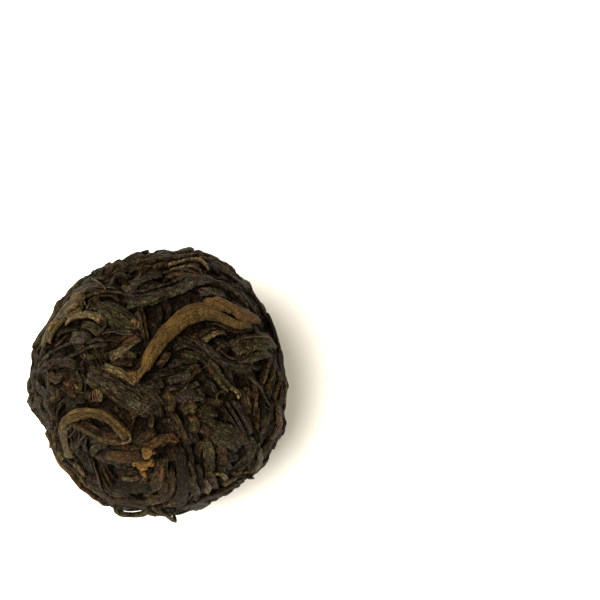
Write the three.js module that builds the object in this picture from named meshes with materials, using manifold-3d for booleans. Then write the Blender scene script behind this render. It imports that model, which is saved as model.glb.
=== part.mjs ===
// A pu-erh tea pearl: rolled, fermented tea leaves pressed by hand into a ball about 28 mm across.
// Millimetres, +Z up. The origin is the middle of the small flat spot that the ball rests on.
// The whole ball is one solid: a core, with the leaves that show on its outside fused onto it.
import * as THREE from 'three';
import { mergeVertices } from 'three/addons/utils/BufferGeometryUtils.js';
import Module from 'manifold-3d';

const wasm = await Module();
wasm.setup();

// The ball
const ballWidth = 28.0; // along X, over the leaves
const ballDepth = 29.5; // along Y, the longest way across
const ballHeight = 27.6; // along Z, before the foot is pressed flat
const footPress = 0.4; // how much of the underside is pressed flat
const footReach = 0.45; // the core comes down to the foot within this share of the ball's radius
const squareness = 0.0195; // how far the outline departs from an ellipse, as a share of its radius
const lopsidedness = 0.011; // the same for its one-sided swell
const coreDepth = 0.6; // from the tops of the leaves down to the core
const coreBump = 0.22; // height of the lumps on the core
const coreFacets = 4; // splits along each edge of the icosahedron that the core starts from

const weld = 0.001; // corners nearer than this are one

// Every leaf
const leafThickness = 0.45; // from a leaf's crown down to its edges
const leafRoot = 1.25; // from a leaf's crown down to the keel that holds it in the core
const stationStep = 2.5; // length of leaf from one cross-section to the next
const tipWidth = 0.45; // width of a leaf's ends as a share of its middle
const tipDrop = 0.42; // how far a leaf's ends dip below its middle
const wander = 0.1; // unevenness of a leaf's width along its length

// The scattered leaves that cover the rest of the ball
const scatteredLeaves = 124;
const scatteredLength = [5.5, 10.5];
const scatteredWidth = [1.5, 2.7];
const scatteredSink = [0.0, 0.35]; // below the ball's outline
const scatteredBend = 0.9; // greatest sideways bow as a share of the leaf's half length, over 4
const clearance = 0.55; // from a placed leaf's edge to a scattered leaf's middle

// The ball is looked at from this height above the table; placed leaves are laid out on that view.
const viewElevation = THREE.MathUtils.degToRad(70);
const seenRight = new THREE.Vector3(1, 0, 0);
const seenUp = new THREE.Vector3(0, Math.sin(viewElevation), Math.cos(viewElevation));
const towardsView = new THREE.Vector3(0, -Math.cos(viewElevation), Math.sin(viewElevation));
const ballCentre = new THREE.Vector3(0, 0, ballHeight / 2 - footPress);

// Placed leaves: both ends and the middle as seen in that view, right and up of the ball's centre,
// then the leaf's width and how far its crown lies below the ball's outline.
const placedLeaves = [
  // golden buds and ochre leaves
  [[-1.7, 1.6], [3.0, 8.0], [10.5, 6.7], 1.6, -0.1],
  [[5.2, 7.0], [7.7, 6.5], [10.4, 6.5], 1.0, 0.05],
  [[-5.9, 1.6], [-4.3, 0.8], [-2.6, 0.2], 0.9, 0.0],
  [[-10.2, -4.5], [-7.5, -3.2], [-3.4, -6.0], 1.1, 0.0],
  [[-10.4, -4.5], [-10.9, -6.7], [-9.1, -9.5], 1.3, 0.0],
  [[-5.9, -7.9], [-3.9, -8.3], [-1.6, -7.5], 0.9, 0.0],
  [[-1.6, -7.5], [-0.5, -6.4], [2.6, -6.5], 0.8, 0.0],
  [[0.3, -9.1], [0.0, -10.6], [-0.6, -12.4], 1.0, 0.1],
  [[-5.6, -12.9], [-2.1, -13.6], [1.5, -12.5], 1.0, 0.0],
  [[-11.5, 6.9], [-10.2, 8.1], [-8.3, 8.7], 1.3, 0.1],
  [[-13.0, 4.1], [-11.9, 5.9], [-9.9, 7.1], 0.9, 0.0],
  [[-9.9, 7.0], [-8.2, 7.8], [-6.4, 7.0], 0.95, 0.0],
  [[-7.9, 9.1], [-6.0, 9.6], [-3.9, 9.8], 0.9, 0.1],
  [[0.7, 12.9], [3.1, 13.2], [5.6, 12.4], 0.8, 0.05],
  [[-4.9, 3.5], [-3.5, 4.3], [-2.1, 5.3], 0.95, 0.05],
  [[-11.7, 2.8], [-9.0, 3.5], [-5.8, 4.2], 0.9, 0.05],
  [[5.0, 2.0], [6.6, 0.3], [9.1, -1.7], 1.0, 0.0],
  [[5.2, 4.8], [6.4, 5.6], [8.7, 5.6], 0.8, 0.2],
  [[10.0, 0.4], [11.2, -0.9], [12.3, -3.2], 0.7, 0.0],
  // dark leaves
  [[-3.6, 9.3], [0.3, 10.2], [5.9, 10.9], 1.5, 0.0],
  [[-2.9, 10.4], [-1.1, 11.2], [0.7, 12.3], 1.35, 0.1],
  [[0.6, 11.7], [3.3, 11.9], [6.6, 11.5], 0.9, 0.15],
  [[-5.8, 12.5], [-2.1, 13.9], [1.4, 14.3], 0.9, 0.1],
  [[1.1, 14.1], [3.3, 14.4], [5.5, 13.9], 0.9, 0.0],
  [[-8.8, 10.0], [-7.3, 11.0], [-5.6, 11.5], 1.7, 0.05],
  [[-5.9, 8.6], [-4.6, 7.0], [-3.2, 5.4], 2.3, 0.3],
  [[-2.6, 7.8], [-1.7, 6.6], [-1.5, 5.0], 0.85, 0.15],
  [[-10.4, 4.3], [-9.1, 5.4], [-7.9, 4.8], 1.5, 0.15],
  [[-13.7, 1.8], [-13.5, 0.7], [-13.2, -0.2], 1.4, 0.0],
  [[-10.8, -1.7], [-10.2, -0.6], [-9.1, 0.3], 1.2, 0.2],
  [[-13.2, -0.6], [-12.5, -1.6], [-12.8, -3.2], 1.3, 0.05],
  [[-6.7, 0.3], [-4.1, -1.5], [-0.6, -3.1], 1.8, 0.05],
  [[-6.7, -0.7], [-6.7, -1.5], [-6.6, -2.7], 1.6, 0.25],
  [[-0.8, 0.7], [1.6, 0.9], [4.1, 1.6], 1.2, 0.15],
  [[3.9, 4.5], [6.6, 3.0], [9.6, 1.0], 1.0, 0.1],
  [[11.3, 5.9], [10.7, 4.1], [9.8, 2.2], 2.6, 0.25],
  [[5.2, 10.0], [7.7, 10.3], [10.3, 9.0], 1.4, 0.15],
  [[7.0, 12.4], [9.0, 11.6], [10.5, 10.0], 1.2, 0.1],
  [[10.5, 9.6], [11.8, 8.3], [12.5, 6.2], 1.2, 0.1],
  [[12.2, 5.2], [13.0, 3.3], [13.4, 1.1], 1.1, 0.05],
  [[9.6, -0.4], [9.7, -1.5], [9.7, -2.8], 1.3, 0.1],
  [[7.2, -0.6], [8.5, -3.2], [9.6, -7.3], 0.8, 0.05],
  [[6.4, -4.5], [7.2, -5.8], [7.9, -7.3], 2.2, 0.15],
  [[3.1, -1.3], [4.2, -0.9], [5.4, -0.2], 1.6, 0.15],
  [[5.0, -2.3], [5.5, -3.7], [5.0, -5.2], 1.6, 0.1],
  [[1.4, -0.4], [1.5, -1.7], [1.1, -3.2], 1.2, 0.15],
  [[2.0, -7.2], [2.4, -10.0], [2.9, -13.3], 1.3, 0.0],
  [[3.3, -6.9], [3.7, -9.5], [4.2, -12.2], 1.0, 0.15],
  [[5.4, -6.4], [5.7, -8.0], [5.5, -9.7], 1.2, 0.05],
  [[7.9, -8.2], [8.5, -9.1], [8.1, -10.3], 1.4, 0.1],
  [[10.9, -7.4], [10.9, -8.5], [10.4, -9.8], 0.9, 0.05],
  [[7.4, -10.6], [8.7, -10.8], [10.2, -10.7], 0.8, 0.0],
  [[13.3, -3.2], [13.6, -4.5], [13.0, -6.2], 1.2, 0.0],
  [[-5.4, -11.5], [-3.0, -12.0], [-0.8, -11.5], 1.4, 0.25],
  [[-8.6, -8.6], [-7.5, -10.6], [-6.2, -12.8], 0.9, 0.05],
  [[-11.7, -7.5], [-10.4, -9.5], [-8.6, -11.5], 0.9, 0.05],
  [[-12.3, -4.2], [-12.1, -6.0], [-11.6, -7.5], 1.0, 0.1],
];

const share = (number, step) => (number * step) % 1; // spreads whole numbers evenly over 0 to 1
const between = ([low, high], part) => low + (high - low) * part;

// Distance from the ball's centre to its outline over the leaves: an ellipsoid with a squarish swell
// round the axis of the view.
function outlineRadius(direction) {
  const ellipsoid = 1 / Math.hypot(
    direction.x / (ballWidth / 2), direction.y / (ballDepth / 2), direction.z / (ballHeight / 2));
  const right = direction.dot(seenRight);
  const up = direction.dot(seenUp);
  const offAxis = right * right + up * up;
  const turn = Math.atan2(up, right);
  return ellipsoid * (1 - offAxis * (squareness * Math.sin(4 * turn) + lopsidedness * Math.cos(3 * turn)));
}

// Turns a closed three.js geometry into a solid.
function solidFrom(geometry) {
  const bare = geometry.clone();
  bare.deleteAttribute('normal');
  bare.deleteAttribute('uv');
  const merged = mergeVertices(bare, weld);
  return new wasm.Manifold(new wasm.Mesh({
    numProp: 3,
    vertProperties: merged.attributes.position.array,
    triVerts: new Uint32Array(merged.index.array),
  }));
}

// The core: lumps below the leaves, and level with them over the foot.
function coreSolid() {
  const geometry = new THREE.IcosahedronGeometry(1, coreFacets);
  const position = geometry.attributes.position;
  const point = new THREE.Vector3();
  for (let i = 0; i < position.count; i++) {
    point.fromBufferAttribute(position, i).normalize();
    const lump = Math.sin(9 * point.x + 2) * Math.sin(8 * point.y + 1) * Math.sin(9 * point.z);
    const fromFoot = Math.hypot(point.x, point.y);
    const overFoot = point.z < 0 ? 1 - THREE.MathUtils.smoothstep(fromFoot, footReach / 2, footReach) : 0;
    const depth = coreDepth * (1 - overFoot) - coreBump * lump * (1 - overFoot);
    point.multiplyScalar(outlineRadius(point) - depth).add(ballCentre);
    position.setXYZ(i, point.x, point.y, point.z);
  }
  return solidFrom(geometry);
}

// A leaf's middle line as directions from the ball's centre, from a parabola through three points of the view.
function placedLine([start, middle, end], stations) {
  return Array.from({ length: stations }, (_, i) => {
    const t = i / (stations - 1);
    const weights = [(1 - t) * (1 - 2 * t), 4 * t * (1 - t), t * (2 * t - 1)];
    const right = weights[0] * start[0] + weights[1] * middle[0] + weights[2] * end[0];
    const up = weights[0] * start[1] + weights[1] * middle[1] + weights[2] * end[1];
    const radius = Math.min(ballWidth, ballHeight) / 2;
    const near = Math.sqrt(Math.max(radius * radius - right * right - up * up, 1));
    return new THREE.Vector3()
      .addScaledVector(seenRight, right)
      .addScaledVector(seenUp, up)
      .addScaledVector(towardsView, near)
      .normalize();
  });
}

// The same for a scattered leaf: a bowed line over the ball through one direction.
function scatteredLine(middle, heading, length, bow, stations) {
  const side = new THREE.Vector3().crossVectors(heading, middle).normalize();
  return Array.from({ length: stations }, (_, i) => {
    const t = (2 * i) / (stations - 1) - 1;
    const along = (t * length) / ballWidth;
    const sideways = (bow * t * t * length) / ballWidth;
    return middle.clone().addScaledVector(heading, along).addScaledVector(side, sideways).normalize();
  });
}

// A leaf laid along a line on the ball: a low crowned strip with thin edges, on a keel that roots it in the core.
function leafSolid(line, width, sink, number) {
  const section = [[-1, -1], [0, 0], [1, -1]]; // across in half widths, up in thicknesses
  const last = line.length - 1;
  const points = [];
  line.forEach((direction, i) => {
    const t = (2 * i) / last - 1;
    const along = line[Math.min(i + 1, last)].clone().sub(line[Math.max(i - 1, 0)]);
    const across = new THREE.Vector3().crossVectors(direction, along).normalize();
    const taper = tipWidth + (1 - tipWidth) * Math.sqrt(1 - t ** 4);
    const halfWidth = (width / 2) * taper * (1 + wander * Math.sin(3 * i + number));
    const crown = -sink - tipDrop * t ** 4 + 0.5 * wander * Math.sin(2 * i + 3 * number);
    const place = (sideways, height) => {
      const out = direction.clone().addScaledVector(across, (2 * sideways) / ballWidth).normalize();
      points.push(out.clone().multiplyScalar(outlineRadius(out) + height).add(ballCentre));
    };
    for (const [sideways, height] of section) place(sideways * halfWidth, crown + height * leafThickness);
    place(0, -Math.max(leafRoot, sink + leafRoot / 2) - tipDrop);
  });
  const around = section.length + 1;
  const faces = [];
  for (let i = 0; i < last; i++) {
    for (let j = 0; j < around; j++) {
      const a = i * around + j;
      const b = i * around + ((j + 1) % around);
      faces.push(a, a + around, b, b, a + around, b + around);
    }
  }
  for (let j = 1; j < around - 1; j++) {
    faces.push(0, j, j + 1);
    faces.push(last * around, last * around + j + 1, last * around + j);
  }
  return solidFrom(new THREE.BufferGeometry().setFromPoints(points).setIndex(faces));
}

// Leaves all round the ball, on a spiral of evenly spread directions. Neighbours lie roughly the same way,
// and the ones that would lie on a placed leaf are left out.
function scatteredSolids(placedLines) {
  const solids = [];
  for (let number = 0; number < scatteredLeaves; number++) {
    const height = 1 - (2 * number + 1) / scatteredLeaves;
    const turn = number * Math.PI * (3 - Math.sqrt(5));
    const ring = Math.sqrt(1 - height * height);
    const middle = new THREE.Vector3(ring * Math.cos(turn), ring * Math.sin(turn), height);
    const radius = outlineRadius(middle);
    const covered = placedLines.some(({ line, width }) => line.some((direction) =>
      direction.distanceTo(middle) * radius < width / 2 + clearance));
    if (covered) continue;
    const level = new THREE.Vector3(-Math.sin(turn), Math.cos(turn), 0);
    const lie = 1.5 * Math.sin(2.6 * middle.x + 1.3) + 1.5 * Math.cos(2.9 * middle.y - 2.1 * middle.z)
      + 1.2 * (share(number, 0.7549) - 0.5);
    const heading = level.applyAxisAngle(middle, lie);
    const length = between(scatteredLength, share(number, 0.5698));
    const width = between(scatteredWidth, share(number, 0.3247));
    const sink = between(scatteredSink, share(number, 0.8192));
    const bow = scatteredBend * (share(number, 0.6711) - 0.5);
    const stations = Math.round(length / stationStep) + 1;
    solids.push(leafSolid(scatteredLine(middle, heading, length, bow, stations), width, sink, number));
  }
  return solids;
}

// Everything under the plane of the foot.
function belowFoot() {
  const slab = new THREE.BoxGeometry(2 * ballWidth, 2 * ballDepth, ballHeight);
  slab.translate(0, 0, -ballHeight / 2);
  return solidFrom(slab);
}

// The outer skin alone, without the sealed hollows and loose scraps that joining the leaves leaves behind.
// A hollow is a body of its own with a negative volume, so the body of the greatest volume is the skin.
function outerSkin(solid) {
  const byVolume = solid.decompose().sort((a, b) => b.volume() - a.volume());
  return byVolume[0];
}

// A solid's corners and faces as a three.js geometry.
function geometryOf(solid) {
  const { vertProperties, triVerts } = solid.getMesh();
  return new THREE.BufferGeometry()
    .setAttribute('position', new THREE.BufferAttribute(vertProperties, 3))
    .setIndex(new THREE.BufferAttribute(triVerts, 1));
}

// Brings the ball to its exact size over the leaves, with the middle of its underside at the origin.
function broughtToSize(geometry) {
  geometry.computeBoundingBox();
  const { min, max } = geometry.boundingBox;
  geometry.translate(-(min.x + max.x) / 2, -(min.y + max.y) / 2, -min.z);
  const standingHeight = ballHeight - footPress;
  return geometry.scale(
    ballWidth / (max.x - min.x), ballDepth / (max.y - min.y), standingHeight / (max.z - min.z));
}

function teaPearl() {
  const placedLines = placedLeaves.map(([start, middle, end, width]) => {
    const length = Math.hypot(middle[0] - start[0], middle[1] - start[1])
      + Math.hypot(end[0] - middle[0], end[1] - middle[1]);
    return { line: placedLine([start, middle, end], Math.round(length / stationStep) + 2), width };
  });
  const leaves = [
    ...placedLines.map(({ line, width }, i) => leafSolid(line, width, placedLeaves[i][4], i)),
    ...scatteredSolids(placedLines),
  ];
  let whole = coreSolid();
  for (const leaf of leaves) whole = whole.add(leaf);
  const skin = outerSkin(whole.subtract(belowFoot()));
  const welded = geometryOf(outerSkin(solidFrom(geometryOf(skin)))); // welding can seal a hollow of its own
  return broughtToSize(welded);
}

const pressedTea = new THREE.MeshStandardMaterial({ color: 0x3a2f20, roughness: 0.75, metalness: 0 });
const pearl = new THREE.Mesh(teaPearl(), pressedTea);
pearl.name = 'tea_pearl';

const part = new THREE.Group();
part.add(pearl);
export default part;
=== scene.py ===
import math
import bpy
import numpy as np
from mathutils import Matrix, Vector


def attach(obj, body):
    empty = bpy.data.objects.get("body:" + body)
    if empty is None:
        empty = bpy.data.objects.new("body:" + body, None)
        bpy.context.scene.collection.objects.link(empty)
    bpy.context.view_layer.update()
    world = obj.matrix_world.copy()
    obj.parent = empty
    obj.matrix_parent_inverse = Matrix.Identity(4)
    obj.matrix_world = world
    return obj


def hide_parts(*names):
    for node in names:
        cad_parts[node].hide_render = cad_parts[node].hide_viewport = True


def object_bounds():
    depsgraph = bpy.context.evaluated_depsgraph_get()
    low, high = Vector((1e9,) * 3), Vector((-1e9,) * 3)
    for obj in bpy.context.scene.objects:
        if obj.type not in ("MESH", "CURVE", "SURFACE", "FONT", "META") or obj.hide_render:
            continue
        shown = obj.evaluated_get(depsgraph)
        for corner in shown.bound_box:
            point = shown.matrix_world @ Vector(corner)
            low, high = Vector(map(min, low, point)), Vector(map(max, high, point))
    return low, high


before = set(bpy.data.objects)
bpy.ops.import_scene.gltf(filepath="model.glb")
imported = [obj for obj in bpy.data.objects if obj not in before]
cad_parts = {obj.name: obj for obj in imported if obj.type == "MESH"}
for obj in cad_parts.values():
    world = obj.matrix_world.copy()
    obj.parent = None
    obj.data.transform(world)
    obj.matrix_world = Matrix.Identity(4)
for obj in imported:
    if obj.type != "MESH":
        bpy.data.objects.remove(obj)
cadBox = [list(corner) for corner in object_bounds()]  # metres, straight after loading
print("tea pearl: the frame is loaded")

# A pu-erh tea pearl: fermented tea leaves rolled by hand into a ball and pressed in a cloth. Lengths are in
# millimetres from the ball's centre and go to metres when a mesh is made.

mm = 0.001
rng = np.random.default_rng(7)
phaseRange = (0, 6)  # random phases, in radians: nearly a whole turn
cadSize = (np.array(cadBox[1]) - np.array(cadBox[0])) / mm

ball = {
    "width": cadSize[0],
    "depth": cadSize[1],
    "fill": 0.998,  # how much of the frame's box it takes up, each way
    "footPress": 0.4,  # how much of the underside is pressed flat
    "squareness": 0.0195,  # how far the outline leaves an ellipse, as a share of its radius
    "lopsidedness": 0.011,
    # Where the outline stands out from that, or in where the share is negative, seen from in front: degrees
    # round it, share of its radius, spread in degrees.
    "swells": [(57, 0.022, 14), (73, 0.03, 7), (90, 0.02, 6), (108, 0.02, 12), (127, 0.035, 8),
               (149, -0.035, 8), (160, -0.025, 5), (173, -0.035, 8), (191, 0.03, 5), (205, -0.05, 10),
               (227, -0.04, 8), (277, 0.045, 8), (298, 0.03, 7), (324, 0.024, 8), (340, 0.02, 7),
               (351, -0.03, 6)],
    "coreDepth": 1.5,  # from the outline down to the core
    "knee": -0.85,  # leaves above this height are pressed down towards the ceiling
    "ceiling": 0.0,
}
ball["height"] = cadSize[2] + ball["footPress"]
centre = np.array([0.0, 0.0, ball["height"] / 2 - ball["footPress"]])
meanRadius = (ball["width"] + ball["depth"] + ball["height"]) / 6  # half the mean of its three sizes

# The leaves that show in front were read off a square picture, in its pixels. It was taken looking down
# this steeply, from this far away.
viewElevation = math.radians(70)
viewDistance = 250.0
pictureSize = 600
pictureMiddle = np.array([157.25, 382.25])  # where it shows the middle of the ball
ballPixels = 258  # how wide it shows the ball
pixel = cadSize[0] / ballPixels  # its size in millimetres
rimShare = 0.992  # a place further out than this share of the outline is moved in to it
seenRight = np.array([1.0, 0.0, 0.0])
seenUp = np.array([0.0, math.sin(viewElevation), math.cos(viewElevation)])
towardsView = np.array([0.0, -math.cos(viewElevation), math.sin(viewElevation)])


# Vectors of length 1: each one over its own length.
def unit(v):
    return v / np.linalg.norm(v, axis=-1, keepdims=True)


# An sRGB hex colour as linear red, green and blue: the sRGB curve undone.
def linear(hexColour):
    value = np.array([int(hexColour[i : i + 2], 16) for i in (1, 3, 5)]) / 255
    return np.where(value <= 0.04045, value / 12.92, ((value + 0.055) / 1.055) ** 2.4)


# Ellipsoid radius along a direction, less a fourfold and a threefold wave round the axis of the view, and
# more by the ball's swells, each a bell over the angle round that axis. All fade out towards the axis.
def outlineRadius(d):
    ellipsoid = 1 / np.sqrt((2 * d[..., 0] / ball["width"]) ** 2 + (2 * d[..., 1] / ball["depth"]) ** 2
                            + (2 * d[..., 2] / ball["height"]) ** 2)
    right, up = d @ seenRight, d @ seenUp
    turn = np.arctan2(up, right)
    swell = ball["squareness"] * np.sin(4 * turn) + ball["lopsidedness"] * np.cos(3 * turn)
    for at, share, spread in ball["swells"]:
        apart = np.angle(np.exp(1j * (turn - math.radians(at)))) / math.radians(spread)
        swell = swell - share * np.exp(-(apart**2))
    return ellipsoid * (1 - (right**2 + up**2) * swell)


# Points in millimetres from directions and heights over the outline: direction * (outline + height) + centre.
def pointsOf(d, h):
    return d * (outlineRadius(d) + h)[..., None] + centre


# Points of the picture as directions to the outline under them: right and up of the ball's middle, closed in
# on the middle by the share of the distance that the outline stands nearer.
def seenDirection(points):
    offset = (np.asarray(points, float) - pictureMiddle) * (pixel, -pixel)
    d = np.tile(towardsView, (len(offset), 1))
    near = np.full(len(offset), ball["height"] / 2)
    for _ in range(8):  # each pass brings the depth nearer to the outline's own
        reach = outlineRadius(d)
        seen = offset * (1 - near / viewDistance)[:, None]
        keep = np.minimum(1, rimShare * reach / np.maximum(np.linalg.norm(seen, axis=1), 1e-6))
        right, up = (seen * keep[:, None]).T
        near = np.sqrt(np.maximum(reach**2 - right**2 - up**2, 0.01))
        d = unit(right[:, None] * seenRight + up[:, None] * seenUp + near[:, None] * towardsView)
    return d


# Monotone press: heights up to the knee stay, higher ones close in on the ceiling exponentially.
def pressed(h):
    room = ball["ceiling"] - ball["knee"]
    over = np.maximum(h - ball["knee"], 0)
    return np.minimum(h, ball["knee"]) + room * (1 - np.exp(-over / room))


# How high the leaves laid so far stand over the outline, in millimetres, on the cells of a cube round it.
cellsAcross = 120  # along each edge of the cube
laidHeight = np.full(6 * cellsAcross**2, -ball["coreDepth"])
shownHeight = laidHeight.copy()  # the same after the press


# The cell of the cube that a direction goes through: its largest part picks the face, and the angles of the
# other two against it pick the cell.
def cellOf(d):
    axis = np.abs(d).argmax(-1)
    largest = np.take_along_axis(d, axis[..., None], -1)[..., 0]
    cell = axis * 2 + (largest > 0)
    for step in (1, 2):
        part = np.take_along_axis(d, ((axis + step) % 3)[..., None], -1)[..., 0] / np.abs(largest)
        place = ((np.arctan(part) * 4 / np.pi + 1) / 2 * cellsAcross).astype(int)
        cell = cell * cellsAcross + place.clip(0, cellsAcross - 1)
    return cell


# Rows that average a line of n samples with a bell of the given width in samples.
def softening(n, width):
    step = np.arange(n)
    bell = np.exp(-((step[:, None] - step) / max(width, 1e-3)) ** 2 / 2)
    return bell / bell.sum(1, keepdims=True)


wobbleLengths = np.array([1.0, 0.57, 0.31])  # of its three waves, as shares of the longest
wobbleHeights = np.array([0.55, 0.3, 0.2])


# Smooth unevenness between about -1 and 1: three sine waves with random phases, the longest given in mm.
def wobble(along, longest):
    waves = 2 * np.pi / (longest * wobbleLengths)
    phases = rng.uniform(0, 2 * np.pi, 3)
    return np.sin(along[..., None] * waves + phases) @ wobbleHeights


# A slow change along a leaf, one value for each cross-section: its size * an unevenness of the given length.
def drift(along, size, length):
    return size * wobble(along, length)[:, None]


fewestSections = 6  # along the shortest leaf
samplesPerPoint = 12  # along a curve, to measure its length


# A curve through directions: Catmull-Rom through the points given, evenly spaced and put back on the ball.
def smoothPath(points, spacing):
    points = np.asarray(points, float)
    ends = np.vstack([2 * points[0] - points[1], points, 2 * points[-1] - points[-2]])
    t = np.linspace(0, len(points) - 1, samplesPerPoint * len(points))
    k = np.minimum(t.astype(int), len(points) - 2)
    f = (t - k)[:, None]
    a, b, c, d = ends[k], ends[k + 1], ends[k + 2], ends[k + 3]
    curve = unit(0.5 * (2 * b + (c - a) * f + (2 * a - 5 * b + 4 * c - d) * f**2
                        + (3 * b - a - 3 * c + d) * f**3))
    run = np.concatenate([[0], np.cumsum(np.linalg.norm(np.diff(curve, axis=0), axis=1))])
    count = max(int(run[-1] * meanRadius / spacing) + 2, fewestSections)
    even = np.linspace(0, run[-1], count)
    return unit(np.stack([np.interp(even, run, curve[:, i]) for i in range(3)], axis=1))


# A bowed line over the ball: middle + along * heading + bow * along^2 * side, put back on the ball.
def bowedPath(middle, heading, length, bow, spacing):
    side = np.cross(heading, middle)
    count = max(int(length / spacing) + 2, fewestSections)
    t = np.linspace(-1, 1, count)[:, None]
    half = length / 2 / meanRadius
    return unit(middle + heading * half * t + side * half * bow * t**2)


# A wave of straight flanks between 0 and 1, sharp at its ridges and in its valleys.
def folded(phase):
    return np.abs((phase / np.pi) % 2 - 1)


crumpleForm = {
    "waves": (1.3, 1.6, 2.0, 2.6, 3.4),  # steepness of each folded wave, in radians to the millimetre
    "slow": 1.3,  # the same of the waves that bend them
    "bend": 1.6,  # how far those shift them, in radians
}
foldCount = len(crumpleForm["waves"])
foldWaves = rng.normal(0, 1, (foldCount, 3)) * np.array(crumpleForm["waves"])[:, None]
foldBends = rng.normal(0, 1, (foldCount, 3))
foldPhases = rng.uniform(*phaseRange, (foldCount, 2))


# Crumpled relief from 0 to 1 over the ball: the mean of folded waves, each bent by a slower one.
def crumple(d):
    total = 0
    for wave, bend, (phase, shift) in zip(foldWaves, foldBends, foldPhases):
        slow = np.sin(d @ bend * meanRadius * crumpleForm["slow"] + shift)
        total = total + folded(d @ wave * meanRadius + phase + crumpleForm["bend"] * slow)
    return total / foldCount


# The dark hollows between the leaves in front: place and radius in the picture's pixels, and depth in mm.
hollows = np.array([
    (150, 310, 11, 0.9), (150, 330, 8, 0.8), (165, 304, 9, 0.9), (181, 298, 8, 0.8), (92, 331, 8, 0.7),
    (112, 403, 9, 0.8), (121, 412, 7, 0.7), (138, 427, 8, 0.7), (160, 429, 10, 0.7), (168, 455, 6, 0.8),
    (197, 456, 7, 0.8), (245, 413, 9, 0.6), (171, 348, 8, 0.7), (200, 377, 6, 0.6), (156, 386, 6, 0.5),
    (174, 386, 5, 0.5), (142, 345, 7, 0.7), (70, 358, 5, 0.5), (260, 404, 6, 0.7), (264, 374, 6, 0.6),
    (239, 373, 7, 0.5), (205, 323, 6, 0.6), (195, 345, 5, 0.5), (75, 440, 6, 0.5), (95, 456, 5, 0.6),
    (144, 379, 7, 0.7), (100, 326, 6, 0.8), (116, 297, 5, 0.6), (190, 294, 6, 0.6), (107, 430, 6, 0.7),
    (146, 464, 4, 0.4), (72, 443, 4, 0.4), (88, 425, 4, 0.4), (191, 466, 7, 0.6), (172, 470, 4, 0.5),
])
hollowDirections = seenDirection(hollows[:, :2])


# How far the leaves sink into the hollows at each direction: the sum of round bells.
def hollowDepth(d):
    total = 0
    for middle, (_, _, radius, depth) in zip(hollowDirections, hollows):
        apart = np.linalg.norm(d - middle, axis=-1) * meanRadius
        total = total + depth * np.exp(-((apart / (radius * pixel)) ** 2))
    return total


# Painted shade in the gaps between the leaves, multiplied into their colours: how it is worked out.
gapShadeForm = {
    "rings": (0.3, 0.7, 1.4),  # how far round a point the leaves are looked at
    "places": 8,  # on each ring
    "steepest": 1.5,  # a rise steeper than this shuts out no more light
    "darkness": 1.85,  # how fast the light goes with the rise around a point
    "open": -0.25,  # under this height its depth takes light away too, down to
    "deepest": 1.2,  # this much under that
    "depthDarkness": 0.7,  # and how fast with its depth
    # Powers for red, green and blue, because the light in a gap has come off brown leaf.
    "warmth": np.array([0.88, 1.03, 1.2]),
}


# How much light reaches each point, as painted shade for its colour: 1 in the open and near 0 in a gap, an
# exponential of the mean rise of the leaves around it, on three rings, and of its own depth under the
# outline.
def paintedGapLight(d, h):
    east = unit(np.cross(d, [0.31, 0.52, 0.79]))  # any fixed direction does
    north = np.cross(d, east)
    shut = 0
    for reach in gapShadeForm["rings"]:
        for turn in np.arange(gapShadeForm["places"]) * 2 * math.pi / gapShadeForm["places"] + reach:
            near = d + (east * math.cos(turn) + north * math.sin(turn)) * (reach / meanRadius)
            shut = shut + np.clip((shownHeight[cellOf(near)] - h) / reach, 0, gapShadeForm["steepest"])
    depth = np.clip(gapShadeForm["open"] - h, 0, gapShadeForm["deepest"])
    looks = len(gapShadeForm["rings"]) * gapShadeForm["places"]
    return np.exp(-gapShadeForm["darkness"] * shut / looks - gapShadeForm["depthDarkness"] * depth)


creaseForm = {
    # The waves of the creases: each one's share of the height, and its spacing as a share of the leaf's.
    "waves": ((0.4, 1.2), (0.28, 0.7), (0.2, 2.0), (0.12, 0.45)),
    "spread": (0.8, 1.3),  # how far that spacing varies
    "turn": 0.25,  # how far they turn away from the leaf's length, in radians
    "bendLength": (1.2, 3.0),  # of the slower waves that bend them, along the leaf
    "bendAcross": (-4, 4),  # the same across it, in radians to the millimetre
    "bend": (0.4, 1.2),  # how far those shift them, in radians
}


# Creases of a dried leaf, 0 in a valley and 1 on a fold: a weighted mean of folded waves that run nearly
# along the leaf, each bent by a slower wave.
def creases(across, along, spacing):
    total = 0
    for share, size in creaseForm["waves"]:
        turn = rng.normal(0, creaseForm["turn"])
        wave = np.pi / (spacing * size * rng.uniform(*creaseForm["spread"]))
        slow = np.sin(along * 2 * np.pi / rng.uniform(*creaseForm["bendLength"])
                      + across * rng.uniform(*creaseForm["bendAcross"]) + rng.uniform(*phaseRange))
        line = across * math.cos(turn) + along * math.sin(turn)
        bend = rng.uniform(*creaseForm["bend"]) * slow
        total = total + share * folded(line * wave + bend + rng.uniform(*phaseRange))
    return total


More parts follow.
